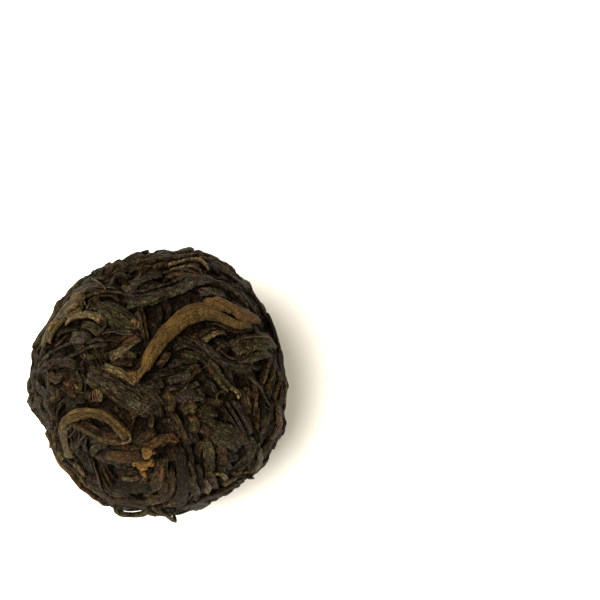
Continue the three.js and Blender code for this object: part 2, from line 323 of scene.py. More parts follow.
# What all leaves share. Lengths are in millimetres, and a drift is its size and its length.
blade = {
    "crowding": 0.85,  # under 1, the points across the top stand closer towards its edges
    "endCurve": 0.6,  # under 1, its ends are blunter
    "edgeWaves": (3.2, 1.1),  # lengths of the long and the short waves of its edges
    "shortShare": 0.6,  # height of the short ones against the long ones
    "tearWave": 0.8,  # length of the waves of its torn ends
    "tearReach": 0.3,  # how far in from the ends the tears go
    "tearParts": 3,  # the tears take one in this many parts of its length at most
    "thinEnds": 0.6,  # thickness of the ends, as a share of the middle's
    "creaseDrift": (0.15, 3.0),  # how the creases wander across it
    "lapRange": (-0.5, 0.5),  # where across it a lap lies
    "lapDrift": (0.35, 5.0),
    "lapEdge": 0.05,  # how soft the edge of the lap is
    "leanSharpness": 4,  # how sharply the lean changes sides as the leaf turns
    "leanSpread": 0.5,  # how far leaves differ in their lean
    "leanDrift": (0.4, 6.0),
    "cupLevel": 0.4,  # keeps a cupped leaf about as high on the whole as a flat one
    "edgeRelief": 0.25,  # how much of the creases is left at its edges
    "underside": -0.15,  # its height against the edges'
}
# Leaf colour: tone and hue that vary at random, as leaves do, with painted light on the folds, painted shade
# in the valleys and one edge painted lighter or darker.
toneAndShade = {
    "flat": 0.92,  # tone of a flat leaf
    "folds": 0.45,  # painted light: how much lighter the folds along it are than what lies between
    "lumps": 0.35,  # the same painted light for the folds that run any way
    "valleyShade": 0.35,  # painted shade: how much darker the bottom of a valley is
    "valleyWidth": 0.22,  # as a share of the way from valley to fold
    "edgeFrom": 0.78,  # where across it the edge painted lighter or darker begins
    "edgeWidth": 0.12,  # over which it comes up
    "edgeRange": (-0.6, 1),  # how far it is darker or lighter, against the kind's edgeLight
    "toneDrift": (0.15, 5.0),
    "toneLimits": (0.15, 2),
    "hueDrift": (0.5, 6.0),
    "leafTone": np.array([0.55, 0.69, 1.0]),  # red, green and blue of every leaf, against its kind's hue
}
pieces = {}  # kind of leaf to the closed grids laid for it


# How far each point lies from the leaf's middle line, and how full its width is at each cross-section, from 0
# to 1: half the width, narrowed to the tips by a power of the way to the ends, tapered, and uneven at the
# edges.
def leafPlan(t, along, across, width, look):
    tips = rng.uniform(*look["tip"], 2) if look["start"] is None else [look["start"], look["tip"][0]]
    tip = np.where(t < 0, tips[0], tips[1])
    narrowed = np.abs(t) ** rng.uniform(*look["fullness"])
    full = np.where(np.abs(t) < 1, 1 - narrowed, 0) ** blade["endCurve"]
    half = width / 2 * (tip + (1 - tip) * full) * (1 + look["taper"] * t)
    longWave, shortWave = blade["edgeWaves"]
    edges = np.stack([wobble(along, longWave) + blade["shortShare"] * wobble(along, shortWave)
                      for _ in range(2)])
    left, right = half * (1 + look["uneven"] * edges)
    return across * np.where(across < 0, left[:, None], right[:, None]), full


# How far the top points move in from either end, so that it looks torn: the size of a random wave across the
# leaf, fading exponentially along it.
def leafTears(along, acrossTop, size):
    tears = np.abs(size * np.stack([wobble(acrossTop, blade["tearWave"]) for _ in range(2)]))
    near = np.exp(-along / blade["tearReach"])[:, None]
    far = np.exp(-(along[-1] - along) / blade["tearReach"])[:, None]
    return near * tears[0] - far * tears[1]


# Height of what lies under the top points: the laid heights, softened as far as the leaf is stiff, and raised
# towards the highest of each cross-section as far as the leaf bridges.
def heightUnder(d, spacing, look):
    held = laidHeight[cellOf(d)]
    n, top = held.shape
    stiff = look["stiff"] / spacing
    held = softening(n, stiff / 2) @ held @ softening(top, top * look["stiffAcross"]).T
    carried = look["bridging"] * held.max(1, keepdims=True) + (1 - look["bridging"]) * held
    return softening(n, stiff) @ carried


# Colour of a leaf's points: two of its kind's hues, mixed along it, * a tone with painted light on its folds,
# painted shade in its valleys, one edge painted lighter or darker, and a drift along it.
def leafColour(along, across, folds, lumps, look):
    # Painted light on the folds and painted shade at the bottom of the valleys between them.
    valleyShade = np.exp(-((folds / toneAndShade["valleyWidth"]) ** 2)) + np.exp(-((lumps / toneAndShade["valleyWidth"]) ** 2))
    shadedTone = (toneAndShade["flat"] + toneAndShade["folds"] * (folds - 0.5) + toneAndShade["lumps"] * (lumps - 0.5)
            - toneAndShade["valleyShade"] * valleyShade)
    # the mask of one edge, which the kind's edgeLight paints lighter or darker
    rim = np.clip((across * rng.choice([-1, 1]) - toneAndShade["edgeFrom"]) / toneAndShade["edgeWidth"], 0, 1)
    shadedTone = shadedTone * (1 + look["edgeLight"] * rng.uniform(*toneAndShade["edgeRange"]) * rim)
    lengthTone = 1 + drift(along, *toneAndShade["toneDrift"])
    ownTone = rng.uniform(np.min(look["tone"]), np.max(look["tone"]))
    tone = np.clip(shadedTone, *toneAndShade["toneLimits"]) * lengthTone * ownTone
    first, second = (linear(hue) for hue in rng.choice(look["hue"], 2))
    mix = np.clip(0.5 + drift(along, *toneAndShade["hueDrift"]), 0, 1)[..., None]
    return (first * mix + second * (1 - mix)) * tone[..., None] * toneAndShade["leafTone"]


# One leaf as a closed grid, (along the path) by (around the section). Height over the outline = the pressed
# height of what it lies on + its thickness under a steep-sided crown + creases, crumples and a lap + a lean
# to one side - a dip at the ends - the hollows in front.
def layLeaf(kind, path, width, lift, **changes):
    look = {**leafKinds[kind], **changes}
    n = len(path)
    run = np.linalg.norm(np.diff(path, axis=0), axis=1) * meanRadius
    along = np.concatenate([[0], np.cumsum(run)])
    length = along[-1]
    t = 2 * along / length - 1
    top = look["around"]
    x = np.linspace(-1, 1, top)
    x = np.sign(x) * np.abs(x) ** blade["crowding"]
    across = np.concatenate([x, look["under"]])
    isTop = np.arange(len(across)) < top
    over = np.round(np.interp(across, x, np.arange(top))).astype(int)  # the top point over each point

    sideways, full = leafPlan(t, along, across, width, look)
    tearSize = look["torn"] * min(width, length / blade["tearParts"])
    lengthwise = leafTears(along, x * width, tearSize)[:, over]
    heading = unit(np.gradient(path, axis=0))
    side = np.cross(heading, path)
    d = unit(path[:, None] + side[:, None] * (sideways / meanRadius)[..., None]
             + heading[:, None] * (lengthwise / meanRadius)[..., None])
    base = heightUnder(d[:, :top], length / n, look)[:, over]

    thick = look["thick"] * (blade["thinEnds"] + (1 - blade["thinEnds"]) * full)[:, None]
    crown = np.maximum(1 - np.abs(across) ** look["flatness"], 0) ** 0.5
    folds = creases(sideways + drift(along, *blade["creaseDrift"]), along[:, None], look["creaseSpacing"])
    lapAt = rng.uniform(*blade["lapRange"]) + drift(along, *blade["lapDrift"])
    lap = 1 / (1 + np.exp(-(across - lapAt) / blade["lapEdge"])) * rng.choice([-1, 1])
    lumps = crumple(d)
    raised = np.tanh(blade["leanSharpness"] * side[n // 2] @ look["raisedEdge"])
    lean = look["lean"] * (raised + rng.normal(0, blade["leanSpread"]) + drift(along, *blade["leanDrift"]))
    relief = look["crease"] * folds + look["lap"] * lap + look["crumple"] * lumps
    curl = look["cup"] * rng.normal() * (across**2 - blade["cupLevel"]) + lean * across
    upper = thick * crown + relief * (blade["edgeRelief"] + (1 - blade["edgeRelief"]) * crown) + curl
    dip = look["dip"] * np.abs(t[:, None]) ** look["dipSharpness"]
    rise = np.where(isTop, upper, curl + blade["underside"]) - dip
    h = pressed(base) + lift + rise - look["sinks"] * hollowDepth(d)
    for part in np.arange(4) / 4:  # the cross-sections are further apart than the cells
        between = d[:-1, :top] * (1 - part) + d[1:, :top] * part
        cells = cellOf(between).ravel()
        np.maximum.at(laidHeight, cells, (base + lift + rise)[:-1, :top].ravel())
        np.maximum.at(shownHeight, cells, h[:-1, :top].ravel())

    colour = leafColour(along, across, folds, lumps, look)
    uv = np.stack([sideways, np.broadcast_to(along[:, None], sideways.shape)], axis=-1)
    uv = uv + rng.uniform(0, 50, 2)  # so that no two leaves have the same veins
    pieces.setdefault(look["piece"], []).append((d, h, colour, uv))


# How the leaves of each kind look. Widths and heights are in millimetres.
leafForm = {
    "around": 13,  # points across the top of the section
    "under": (0.6, 0.0, -0.6),  # where the points under it lie
    "tip": (0.3, 1.0),  # width of the ends as a share of the middle
    "start": None,  # the same for the near end alone
    "fullness": (2, 8),  # how far the full width reaches towards the ends
    "taper": 0.0,  # how much wider the far end is than the middle, as a share
    "uneven": 0.22,
    "torn": 0.5,  # raggedness of the ends as a share of the width
    "stiff": 0.5,  # length over which a leaf bridges what is under it
    "stiffAcross": 0.11,  # the same across it, as a share of the width
    "bridging": 0.2,  # 1 spans hollows, 0 follows them
    "thick": 0.11,
    "flatness": 9,  # how steep its sides are: 2 is round, 9 nearly square
    "creaseSpacing": 0.5,
    "crease": 0.15,  # height of the folds along it
    "crumple": 0.25,  # height of the folds that run any way
    "lap": 0.05,  # height of the step where one half is folded over the other
    "lean": 0.19,  # how far one edge stands above the other
    "raisedEdge": 0.8 * seenRight - 0.6 * seenUp,  # the way that edge faces, the same for every leaf
    "cup": 0.05,  # how far both edges curl up or down
    "dip": 0.25,  # how far the ends tuck under
    "dipSharpness": 14,
    "sinks": 1.0,  # 1 follows the hollows between the leaves in front, 0 spans them
    "edgeLight": 0.6,  # how far one edge is painted lighter or darker, as a share
    "tone": (0.82, 1.18),  # how light it is, as a share of its kind's hue: one value or a range
}
youngForm = {"dip": 0.2, "crumple": 0.2}  # smoother leaves, whose ends tuck under less
leafKinds = {
    "dark": {"piece": "dark_leaves", "hue": ["#2f281b", "#352d1f", "#2b2318"]},
    "grey": {"piece": "grey_leaves", "hue": ["#3a3225", "#3f3628", "#383025"]},
    "olive": {"piece": "olive_leaves", "hue": ["#3b331e", "#413721", "#37301c"]},
    "brown": {"piece": "brown_leaves", "hue": ["#3f301b", "#46351e", "#3a2c19"]},
    "red": {"piece": "russet_leaves", "hue": ["#422e1c", "#46321e", "#3c2a1a"]},
    "tan": {"piece": "tan_leaves", "hue": ["#61502c", "#554525", "#6a5832"], **youngForm},
    "straw": {"piece": "tan_leaves", "hue": ["#614e24", "#6b5729", "#5a4820"], **youngForm},
    "khaki": {"piece": "tan_leaves", "hue": ["#4e3f24", "#574828", "#473a20"], **youngForm},
    "orange": {"piece": "ochre_leaves", "hue": ["#5a3914", "#523513", "#624117"], **youngForm},
    "rust": {"piece": "ochre_leaves", "hue": ["#64400f", "#5c3a0c", "#6c4612"], **youngForm},
    "gold": {"piece": "golden_buds", "hue": ["#594523", "#503d1f", "#654f29"], "crease": 0.14,
             "crumple": 0.15},
    "bud": {"piece": "golden_buds", "hue": ["#5f4620", "#59411d", "#644a22"], "thick": 0.5, "crease": 0.09,
            "creaseSpacing": 0.45, "lap": 0.02, "tip": (0.45, 0.5), "fullness": (5, 6), "uneven": 0.05,
            "stiff": 2.0, "bridging": 0.9, "dip": 0.3, "torn": 0.1, "crumple": 0.06, "flatness": 2.8,
            "around": 19, "tone": 0.84, "lean": 0.02, "taper": 0.3},
    "budTip": {"piece": "golden_buds", "hue": ["#5b3f20", "#624624"], "thick": 0.45, "crease": 0.1,
               "tip": (0.1, 0.15), "fullness": (2.2, 2.4), "stiff": 1.5, "bridging": 0.8, "torn": 0.0,
               "tone": 0.85, "flatness": 3, "start": 0.9},
    "flake": {"piece": "bud_flakes", "hue": ["#6b4b23", "#7a5829"], "thick": 0.15, "tip": (0.3, 0.9),
              "stiff": 0.3, "uneven": 0.5, "torn": 1.0, "dip": 0.1, "crumple": 0.4},
    "stalk": {"piece": "stalks", "hue": ["#5c4a2e", "#4c3d25"], "around": 5, "under": (0.5, -0.5),
              "thick": 0.14, "crease": 0.02, "lap": 0.0, "tip": (0.5, 0.9), "dip": 0.15, "stiff": 1.2,
              "bridging": 0.9, "flatness": 2, "crumple": 0.05},
}
sliverForm = {"around": 5, "under": (0.4, -0.4), "thick": 0.1, "flatness": 3, "crease": 0.05, "crumple": 0.1,
              "lap": 0.0, "lean": 0.03, "cup": 0.02, "dip": 0.12, "edgeLight": 0.0, "uneven": 0.25}
leafKinds["sliver"] = {"piece": "leaf_slivers", "hue": ["#2c2416", "#3a301d", "#4c3f27", "#5f4f31"],
                       "tip": (0.2, 0.8), "bridging": 0.6, **sliverForm}
leafKinds["crumb"] = {**sliverForm, "piece": "tea_crumbs", "thick": 0.18, "uneven": 0.4, "torn": 0.8,
                      "hue": ["#261e12", "#33291a", "#44361f", "#54432a"]}
leafKinds = {kind: {**leafForm, **look} for kind, look in leafKinds.items()}

# The leaves that can be told apart from in front, each laid over those before it: kind, width in the
# picture's pixels, how far it stands proud in millimetres, points along it in the picture, and what sets it
# apart.
shownLeaves = [
    # round the rim, clockwise from the left
    ("dark", 12, 0.02, [(36, 366), (33, 376), (36, 387)]),
    ("brown", 10, 0, [(35, 361), (34, 350), (40, 339)]),
    ("grey", 9, 0.05, [(33, 381), (38, 390), (45, 396)]),
    ("dark", 12, 0.02, [(36, 396), (36, 408), (42, 418)]),
    ("grey", 8, -0.2, [(47, 420), (48, 432), (51, 444)]),
    ("brown", 7, -0.15, [(38, 345), (42, 335), (48, 327), (53, 320)]),
    ("dark", 10, -0.15, [(56, 318), (62, 304), (70, 294)]),
    ("grey", 16, 0.05, [(68, 294), (82, 285), (100, 282)], {"tone": 1.4, "lean": 0.08}),
    ("olive", 8, 0.05, [(91, 275), (97, 272), (104, 272)]),
    ("dark", 11, 0.05, [(103, 268), (119, 261), (135, 256), (150, 252)]),
    ("dark", 9, 0, [(146, 252), (160, 250), (175, 251), (188, 249)]),
    ("red", 7, 0.12, [(184, 250), (196, 248), (206, 252)]),
    ("dark", 12, 0.05, [(206, 255), (222, 264), (238, 275), (250, 288)]),
    ("dark", 13, 0.15, [(248, 286), (262, 302), (272, 318)]),
    ("dark", 13, 0.25, [(266, 309), (277, 332), (283, 352)]),
    ("grey", 9, 0.15, [(281, 346), (285, 364), (283, 384)]),
    ("red", 6, 0.1, [(279, 378), (281, 390), (279, 403)]),
    ("dark", 9, -0.05, [(283, 395), (281, 405), (277, 412)]),
    ("brown", 10, 0.05, [(277, 438), (268, 453), (257, 468)]),
    ("khaki", 7, 0.06, [(259, 452), (260, 462), (254, 473)], {"tone": 0.8}),
    ("olive", 9, 0.02, [(250, 478), (235, 488), (216, 498)]),
    ("brown", 5, 0.08, [(238, 486), (226, 493), (212, 500)]),
    ("dark", 9, 0.05, [(214, 500), (196, 508), (178, 513)]),
    ("dark", 10, -0.08, [(50, 442), (60, 464), (75, 484)]),
    ("olive", 9, -0.05, [(76, 484), (90, 497), (110, 505)]),
    # loose tips at the bottom and right rim
    ("brown", 5, 0.65, [(158, 512), (166, 517), (174, 523)], {"dip": 0.5, "tip": (0.3, 0.6)}),
    ("brown", 4, 0.25, [(243, 480), (253, 483)]),
    # upper left
    ("straw", 15, 0.15, [(84, 292), (72, 299), (62, 308), (53, 320), (45, 334), (40, 346)],
     {"crease": 0.12, "crumple": 0.2, "tip": (0.7, 0.8), "lean": 0.05, "tone": 0.62}),
    ("straw", 11, 0.2, [(82, 303), (72, 308), (62, 316), (53, 328), (46, 342)],
     {"crease": 0.14, "crumple": 0.25, "tip": (0.7, 0.8), "lean": 0.1, "tone": 0.82}),
    ("straw", 9, 0.25, [(79, 302), (72, 306), (65, 312)], {"tone": 1.05, "tip": (0.6, 0.8), "lean": 0.08}),
    ("straw", 7, 0.25, [(60, 318), (54, 324), (49, 331)], {"tone": 0.72, "tip": (0.6, 0.8), "lean": 0.08}),
    ("dark", 7, 0.05, [(104, 316), (102, 323), (97, 329)]),
    ("tan", 9.5, 0.22, [(64, 320), (74, 314), (84, 311), (92, 313), (100, 317.5)],
     {"tip": (0.95, 1), "crease": 0.2}),
    ("brown", 5, 0.12, [(86, 299), (93, 295), (102, 292), (111, 292), (117, 296)]),
    ("brown", 5, 0.1, [(79, 297), (90, 291), (100, 288), (112, 287), (123, 288)]),
    ("grey", 5, 0.1, [(84, 287), (96, 285), (108, 283), (118, 284)]),
    ("stalk", 1.8, 0.25, [(89, 274), (97, 279), (105, 287)]),
    ("stalk", 1.6, 0.3, [(79, 293), (83, 298), (84, 303)]),
    ("stalk", 1.3, 0.3, [(85, 294), (83, 298), (80, 303)]),
    ("stalk", 1.4, 0.15, [(112, 279), (114, 272), (119, 269), (124, 273)]),
    ("dark", 9, 0.05, [(108, 282), (111, 273), (119, 268), (128, 271)]),
    ("grey", 9, -0.05, [(86, 305), (95, 303), (104, 305)]),
    ("olive", 20, 0, [(98, 303), (109, 311), (121, 321), (134, 330)], {"crease": 0.1, "tone": 1.15}),
    ("olive", 6, 0.05, [(108, 300), (119, 305), (129, 313), (138, 324)]),
    ("olive", 10, 0.08, [(76, 322), (84, 321), (92, 326), (97, 333)], {"tip": (0.8, 1), "tone": 1.2}),
    ("dark", 8, 0.03, [(80, 330), (85, 334), (86, 341)]),
    ("grey", 8, 0, [(52, 332), (62, 326), (74, 323)]),
    ("brown", 10, 0.05, [(53, 343), (59, 337), (66, 330)], {"tip": (0.8, 1)}),
    ("grey", 16, 0.2, [(66, 337), (75, 335), (84, 337)], {"tip": (0.9, 1), "tone": 1.5}),
    ("grey", 7, 0, [(98, 330), (111, 328), (124, 331), (134, 330)]),
    ("olive", 8, -0.05, [(96, 338), (108, 336), (120, 338)]),
    ("brown", 8, 0.05, [(94, 358), (105, 353), (117, 348)]),
    ("khaki", 12, 0.08, [(105, 359), (114, 352), (124, 345), (132, 339), (139, 335)],
     {"tip": (0.7, 0.9), "tone": 0.95}),
    ("orange", 5, 0.13, [(121, 344), (129, 339), (137, 335)], {"tone": 0.7}),
    ("red", 7, 0.12, [(129, 318), (135, 321), (137, 327)], {"tone": 1.45}),
    ("brown", 4, 0.12, [(134, 300), (138, 311), (140, 324), (143, 339)]),
    ("brown", 3, 0.12, [(138, 300), (142, 311), (144, 324), (147, 339)]),
    ("olive", 6, 0, [(134, 308), (138, 318), (139, 330)]),
    # left of the middle
    ("olive", 7, 0.15, [(47, 364), (55, 358), (66, 353), (80, 348), (92, 344), (106, 343)]),
    ("grey", 5, 0.1, [(42, 358), (50, 350), (60, 344), (72, 341)]),
    ("grey", 6, 0.05, [(84, 341), (93, 338), (103, 337)]),
    ("grey", 11, 0.03, [(49, 363), (60, 361), (71, 363)], {"tone": 0.85}),
    ("olive", 8, 0.05, [(84, 357), (96, 355), (106, 358)]),
    ("brown", 9, 0, [(106, 364), (118, 361), (132, 361)]),
    ("olive", 7, 0, [(116, 356), (126, 353), (136, 355)]),
    ("stalk", 0.9, 0.25, [(95, 351), (98, 359), (102, 367)]),
    ("stalk", 0.8, 0.28, [(98, 352), (101, 359), (107, 364)]),
    ("stalk", 0.8, 0.3, [(93, 358), (98, 365), (104, 369)]),
    ("stalk", 0.7, 0.3, [(90, 354), (96, 360), (99, 369)]),
    ("tan", 8, 0.22, [(101, 365), (111, 369), (121, 374), (130, 380), (136, 385)],
     {"tip": (0.6, 0.8), "tone": 0.66}),
    ("olive", 7, 0.05, [(86, 366), (94, 369), (103, 371)]),
    ("grey", 18, 0.12, [(84, 374), (98, 381), (114, 389), (130, 399), (143, 408), (152, 414)],
     {"crease": 0.12}),
    ("brown", 6, 0.1, [(88, 382), (100, 390), (112, 399), (125, 408), (141, 415)]),
    ("olive", 4, 0.16, [(96, 376), (110, 383), (125, 391), (141, 402)]),
    ("red", 5, 0.12, [(89, 391), (86, 398), (89, 405)], {"tone": 1.4}),
    ("tan", 2.5, 0.2, [(92, 390), (91, 397), (92, 404)]),
    ("red", 5.5, 0.28, [(94, 388), (96, 396), (95, 404)], {"tone": 1.7}),
    ("tan", 3.5, 0.25, [(99, 389), (101, 396), (99, 403)]),
    ("brown", 7, 0.05, [(72, 370), (77, 382), (76, 394)]),
    ("grey", 5, 0.1, [(79, 373), (84, 382), (83, 392)]),
    ("red", 9, 0.03, [(57, 384), (66, 390), (74, 396)], {"tone": 0.9}),
    ("red", 5, 0.05, [(60, 380), (66, 385), (70, 391)]),
    ("brown", 9, 0, [(46, 372), (54, 380), (60, 376)]),
    ("dark", 10, -0.05, [(57, 398), (68, 402), (80, 401)]),
    ("grey", 6, 0.1, [(57, 403), (53, 412), (55, 423)]),
    ("olive", 7, 0, [(46, 385), (52, 394), (50, 404)]),
    ("stalk", 1.4, 0.2, [(52, 408), (54, 418), (58, 427)]),
    # across the top
    ("brown", 5, 0.05, [(134, 258), (150, 254), (165, 253), (181, 252)]),
    ("grey", 5, 0.1, [(142, 263), (155, 259), (167, 257), (180, 255), (192, 255)]),
    ("dark", 6, 0.05, [(186, 256), (198, 256), (210, 261), (220, 267)]),
    ("grey", 6, 0, [(150, 270), (165, 265), (180, 263), (196, 266), (210, 270)]),
    ("red", 6, 0.12, [(131, 277), (133, 270), (138, 264), (146, 261), (154, 261)]),
    ("brown", 4, 0.15, [(137, 277), (140, 271), (147, 266), (156, 263), (166, 260)]),
    ("tan", 6.5, 0.2, [(166, 260), (175, 258), (184, 256), (193, 255), (202, 258), (209, 265)],
     {"tone": 1.2, "crease": 0.16}),
    ("tan", 3.5, 0.2, [(168, 266), (178, 263), (188, 261), (197, 262), (204, 267)]),
    ("dark", 3, 0.05, [(180, 261), (190, 260), (200, 262)]),
    ("red", 4, 0.12, [(163, 277), (167, 271), (176, 269), (188, 271), (203, 272)]),
    ("brown", 4, 0.1, [(166, 280), (178, 275), (190, 274), (204, 275), (213, 279)]),
    ("grey", 8, 0.05, [(172, 276), (188, 273), (204, 275), (220, 280), (232, 287)]),
    ("dark", 13, 0.12, [(129, 284), (139, 277), (150, 272), (163, 269)],
     {"crumple": 0.05, "tip": (0.3, 0.5), "tone": 1.1}),
    ("grey", 17, 0.22, [(124, 298), (142, 296), (160, 290), (178, 284), (196, 279), (212, 276)],
     {"crease": 0.12, "taper": -0.3, "start": 0.95, "tip": (0.6, 0.8), "tone": 1.15}),
    ("olive", 6, 0.18, [(128, 304), (142, 301), (156, 296), (168, 291)]),
    ("grey", 3, 0.2, [(126, 291), (146, 286), (163, 281), (182, 276)]),
    ("grey", 12, 0, [(197, 288), (211, 288), (226, 294)]),
    ("olive", 7, 0.05, [(216, 278), (227, 281), (238, 287)]),
    ("brown", 4, 0.08, [(205, 284), (218, 287), (230, 294), (241, 304)]),
    ("grey", 8, 0.05, [(231, 296), (241, 303), (250, 313)]),
    ("dark", 9, 0, [(205, 276), (220, 281), (236, 290), (250, 303)]),
    ("grey", 11, 0.2, [(198, 290), (211, 289), (226, 294)], {"tone": 1.8}),
    ("dark", 9, 0.05, [(240, 288), (252, 300), (262, 316)]),
    ("dark", 10, 0, [(248, 316), (258, 328), (266, 342)]),
    ("dark", 6, -0.35, [(157, 298), (159, 308), (157, 318)]),
    ("dark", 6, -0.35, [(166, 296), (168, 305), (166, 314)]),
    ("dark", 6, -0.35, [(176, 293), (177, 301), (180, 307)]),
    ("dark", 6, -0.3, [(187, 290), (189, 296), (192, 300)]),
    ("dark", 7, -0.35, [(151, 322), (152, 334), (148, 346)]),
    # the golden bud and its folded tip
    ("gold", 7, 0.2, [(147, 361), (142, 369), (138, 375), (134, 383)], {"taper": -0.2}),
    ("orange", 6, 0.25, [(127, 373), (133, 374), (138, 379)]),
    ("bud", 18, 0.3, [(144, 371), (148, 358), (155, 346), (164, 334), (175, 322), (187, 313), (200, 308),
                      (213, 308)]),
    ("gold", 12, 0.24, [(196, 315), (206, 312), (216, 313.5), (226, 318), (237, 322.5), (250, 324)],
     {"thick": 0.4, "flatness": 3, "taper": -0.25, "tip": (0.5, 0.6)}),
    ("budTip", 15, 0.34, [(204, 303), (214, 303), (224, 306), (234, 311), (245, 316.5), (257, 321)]),
    ("brown", 8, 0.08, [(168, 349), (163, 358), (156, 367)]),
    # right of the middle
    ("olive", 20, 0.3, [(232, 347), (248, 342), (272, 339)], {"creaseSpacing": 0.35, "tone": 2.0}),
    ("olive", 10, 0.06, [(236, 359), (251, 357), (270, 351)], {"tone": 1.4}),
    ("tan", 2, 0.12, [(233, 342), (243, 337), (256, 336), (268, 338)]),
    ("olive", 2.5, 0.12, [(238, 347), (246, 343), (257, 342), (267, 345)]),
    ("dark", 13, 0, [(217, 341), (224, 340), (232, 341)], {"tip": (0.9, 1)}),
    ("grey", 10, 0.1, [(194, 336), (203, 344), (213, 353), (225, 362), (239, 367), (252, 368)],
     {"tone": 0.7}),
    ("brown", 3, 0.2, [(220, 349), (227, 356), (236, 358.5), (244, 355), (248, 348), (245, 342), (239, 341)]),
    ("tan", 6.5, 0.15, [(203, 340), (210, 334), (218, 330), (227, 330)]),
    ("olive", 7, 0.05, [(200, 332), (208, 326), (216, 324)]),
    ("grey", 8, 0, [(172, 347), (184, 343), (197, 347), (207, 356)]),
    ("olive", 9, 0, [(180, 356), (194, 354), (207, 361), (217, 370)]),
    ("olive", 11, 0.25, [(205, 362), (214, 371), (223, 383), (232, 393)], {"tone": 1.6}),
    ("olive", 2.5, 0.2, [(203, 362), (212, 373), (220, 385), (228, 394)]),
    ("red", 6, 0.2, [(204, 367), (209, 370), (212, 376)]),
    ("tan", 5, 0.22, [(230, 388), (237, 393), (240, 400)]),
    ("olive", 6.5, 0.16, [(248, 375), (257, 385), (264, 397), (272, 411)]),
    ("brown", 14, 0.08, [(246, 387), (247, 400), (246, 418)], {"tip": (0.9, 1)}),
    ("brown", 1.6, 0.2, [(253, 385), (255, 400), (254, 418)]),
    ("brown", 1.4, 0.2, [(257, 404), (258, 418), (257, 434)]),
    ("dark", 7, 0.05, [(270, 362), (267, 375), (262, 388)]),
    ("stalk", 1.2, 0.2, [(270, 360), (267, 373), (263, 385)]),
    ("stalk", 1.3, 0.2, [(277, 365), (272, 380), (267, 396)]),
    ("stalk", 1.2, 0.15, [(281, 372), (278, 388), (276, 406)]),
    ("dark", 7, 0.05, [(274, 372), (272, 388), (269, 402)]),
    ("brown", 7, 0.05, [(247, 364), (258, 367), (266, 361)]),
    ("olive", 3, 0.15, [(227, 397), (224, 393), (219, 394), (217, 399), (220, 403), (225, 402)]),
    ("dark", 11, 0, [(140, 390), (152, 385), (164, 382)]),
    ("grey", 9, 0.03, [(166, 382), (178, 378), (192, 373)]),
    ("brown", 6, 0.03, [(142, 400), (152, 394), (160, 390)]),
    ("grey", 6, 0.03, [(162, 392), (172, 388), (181, 388)]),
    ("dark", 5, 0.06, [(148, 380), (154, 388), (158, 396)]),
    ("dark", 9, 0, [(166, 366), (182, 360), (199, 358)]),
    ("dark", 9, -0.05, [(148, 378), (162, 372), (176, 369)]),
    ("grey", 6, 0.05, [(180, 392), (190, 387), (200, 382)]),
    ("grey", 11, 0.06, [(190, 398), (198, 397), (206, 400)]),
    ("olive", 12, 0.06, [(180, 411), (188, 409), (197, 411)], {"tip": (0.8, 1), "tone": 1.15}),
    ("olive", 13, 0.05, [(201, 416), (210, 412), (219, 412)], {"tip": (0.8, 1)}),
    ("brown", 9, 0.08, [(190, 418), (195, 427), (192, 437)]),
    ("dark", 9, 0, [(205, 384), (212, 388), (216, 396)]),
    ("brown", 8, 0, [(207, 402), (216, 404), (224, 409)]),
    ("brown", 10, 0.04, [(163, 393), (169, 402), (168, 415)]),
    ("dark", 8, 0, [(150, 398), (156, 408), (157, 420)]),
    ("brown", 6, 0.14, [(172, 415), (179, 428), (184, 441), (189, 448)]),
    ("grey", 3.2, 0.14, [(228, 404), (236, 418), (243, 434), (248, 455)]),
    ("grey", 3.2, 0.14, [(222, 408), (231, 421), (239, 436), (243, 450)]),
    ("grey", 3, 0.14, [(233, 402), (243, 419), (250, 437)]),
    ("dark", 6, 0, [(236, 404), (246, 420), (252, 438)]),
    ("dark", 7, 0.02, [(262, 398), (265, 414), (262, 432)]),
    ("brown", 7, 0.05, [(270, 412), (268, 426), (263, 440)]),
    ("brown", 3, 0.12, [(262, 405), (268, 410), (272, 404)]),
    ("red", 17, 0.22, [(275, 406), (279, 419), (278, 431), (270, 445)],
     {"tone": 1.8, "tip": (0.15, 0.3), "fullness": (2, 2.5), "lean": 0.05, "stiffAcross": 0.5}),
    # lower right
    ("olive", 25, 0.06, [(209, 436), (221, 437), (233, 441), (244, 448)], {"crease": 0.1}),
    ("olive", 12, 0.2, [(205, 440), (208, 453), (210, 466), (211, 480)],
     {"start": 0.1, "tip": (0.6, 0.7), "fullness": (2, 2.2), "tone": 1.25, "lean": 0.06}),
    ("grey", 9, 0.05, [(229, 463), (235, 464), (242, 463)], {"tone": 0.9}),
    ("dark", 5, 0.04, [(216, 452), (221, 460), (222, 470)]),
    ("brown", 4, 0.08, [(222, 452), (228, 457), (233, 456)]),
    ("grey", 3, 0.1, [(246, 446), (250, 455), (246, 464)]),
    ("olive", 3, 0.12, [(252, 446), (254, 457), (249, 467)]),
    ("grey", 5, 0.1, [(224, 466), (232, 474), (241, 469), (248, 458)]),
    ("grey", 4, 0.08, [(219, 458), (226, 464), (230, 472)]),
    ("olive", 4, 0.1, [(238, 478), (247, 468), (252, 456)]),
    ("dark", 8, 0.03, [(248, 440), (251, 450), (248, 462)]),
    ("brown", 9, 0, [(219, 450), (222, 459), (219, 470)]),
    ("tan", 5, 0.1, [(213, 480), (221, 479), (227, 485)]),
    ("tan", 6, 0.1, [(203, 485), (207, 491), (204, 499)]),
    ("tan", 5, 0.12, [(223, 491), (230, 487), (238, 482)]),
    ("red", 5, 0.08, [(232, 478), (238, 479), (244, 476)]),
    ("brown", 9, 0.05, [(207, 477), (212, 486), (214, 496)]),
    ("dark", 5, 0.04, [(188, 449), (191, 464), (191, 478)], {"tone": 0.6}),
    ("dark", 7, 0.02, [(196, 470), (199, 480), (197, 490)]),
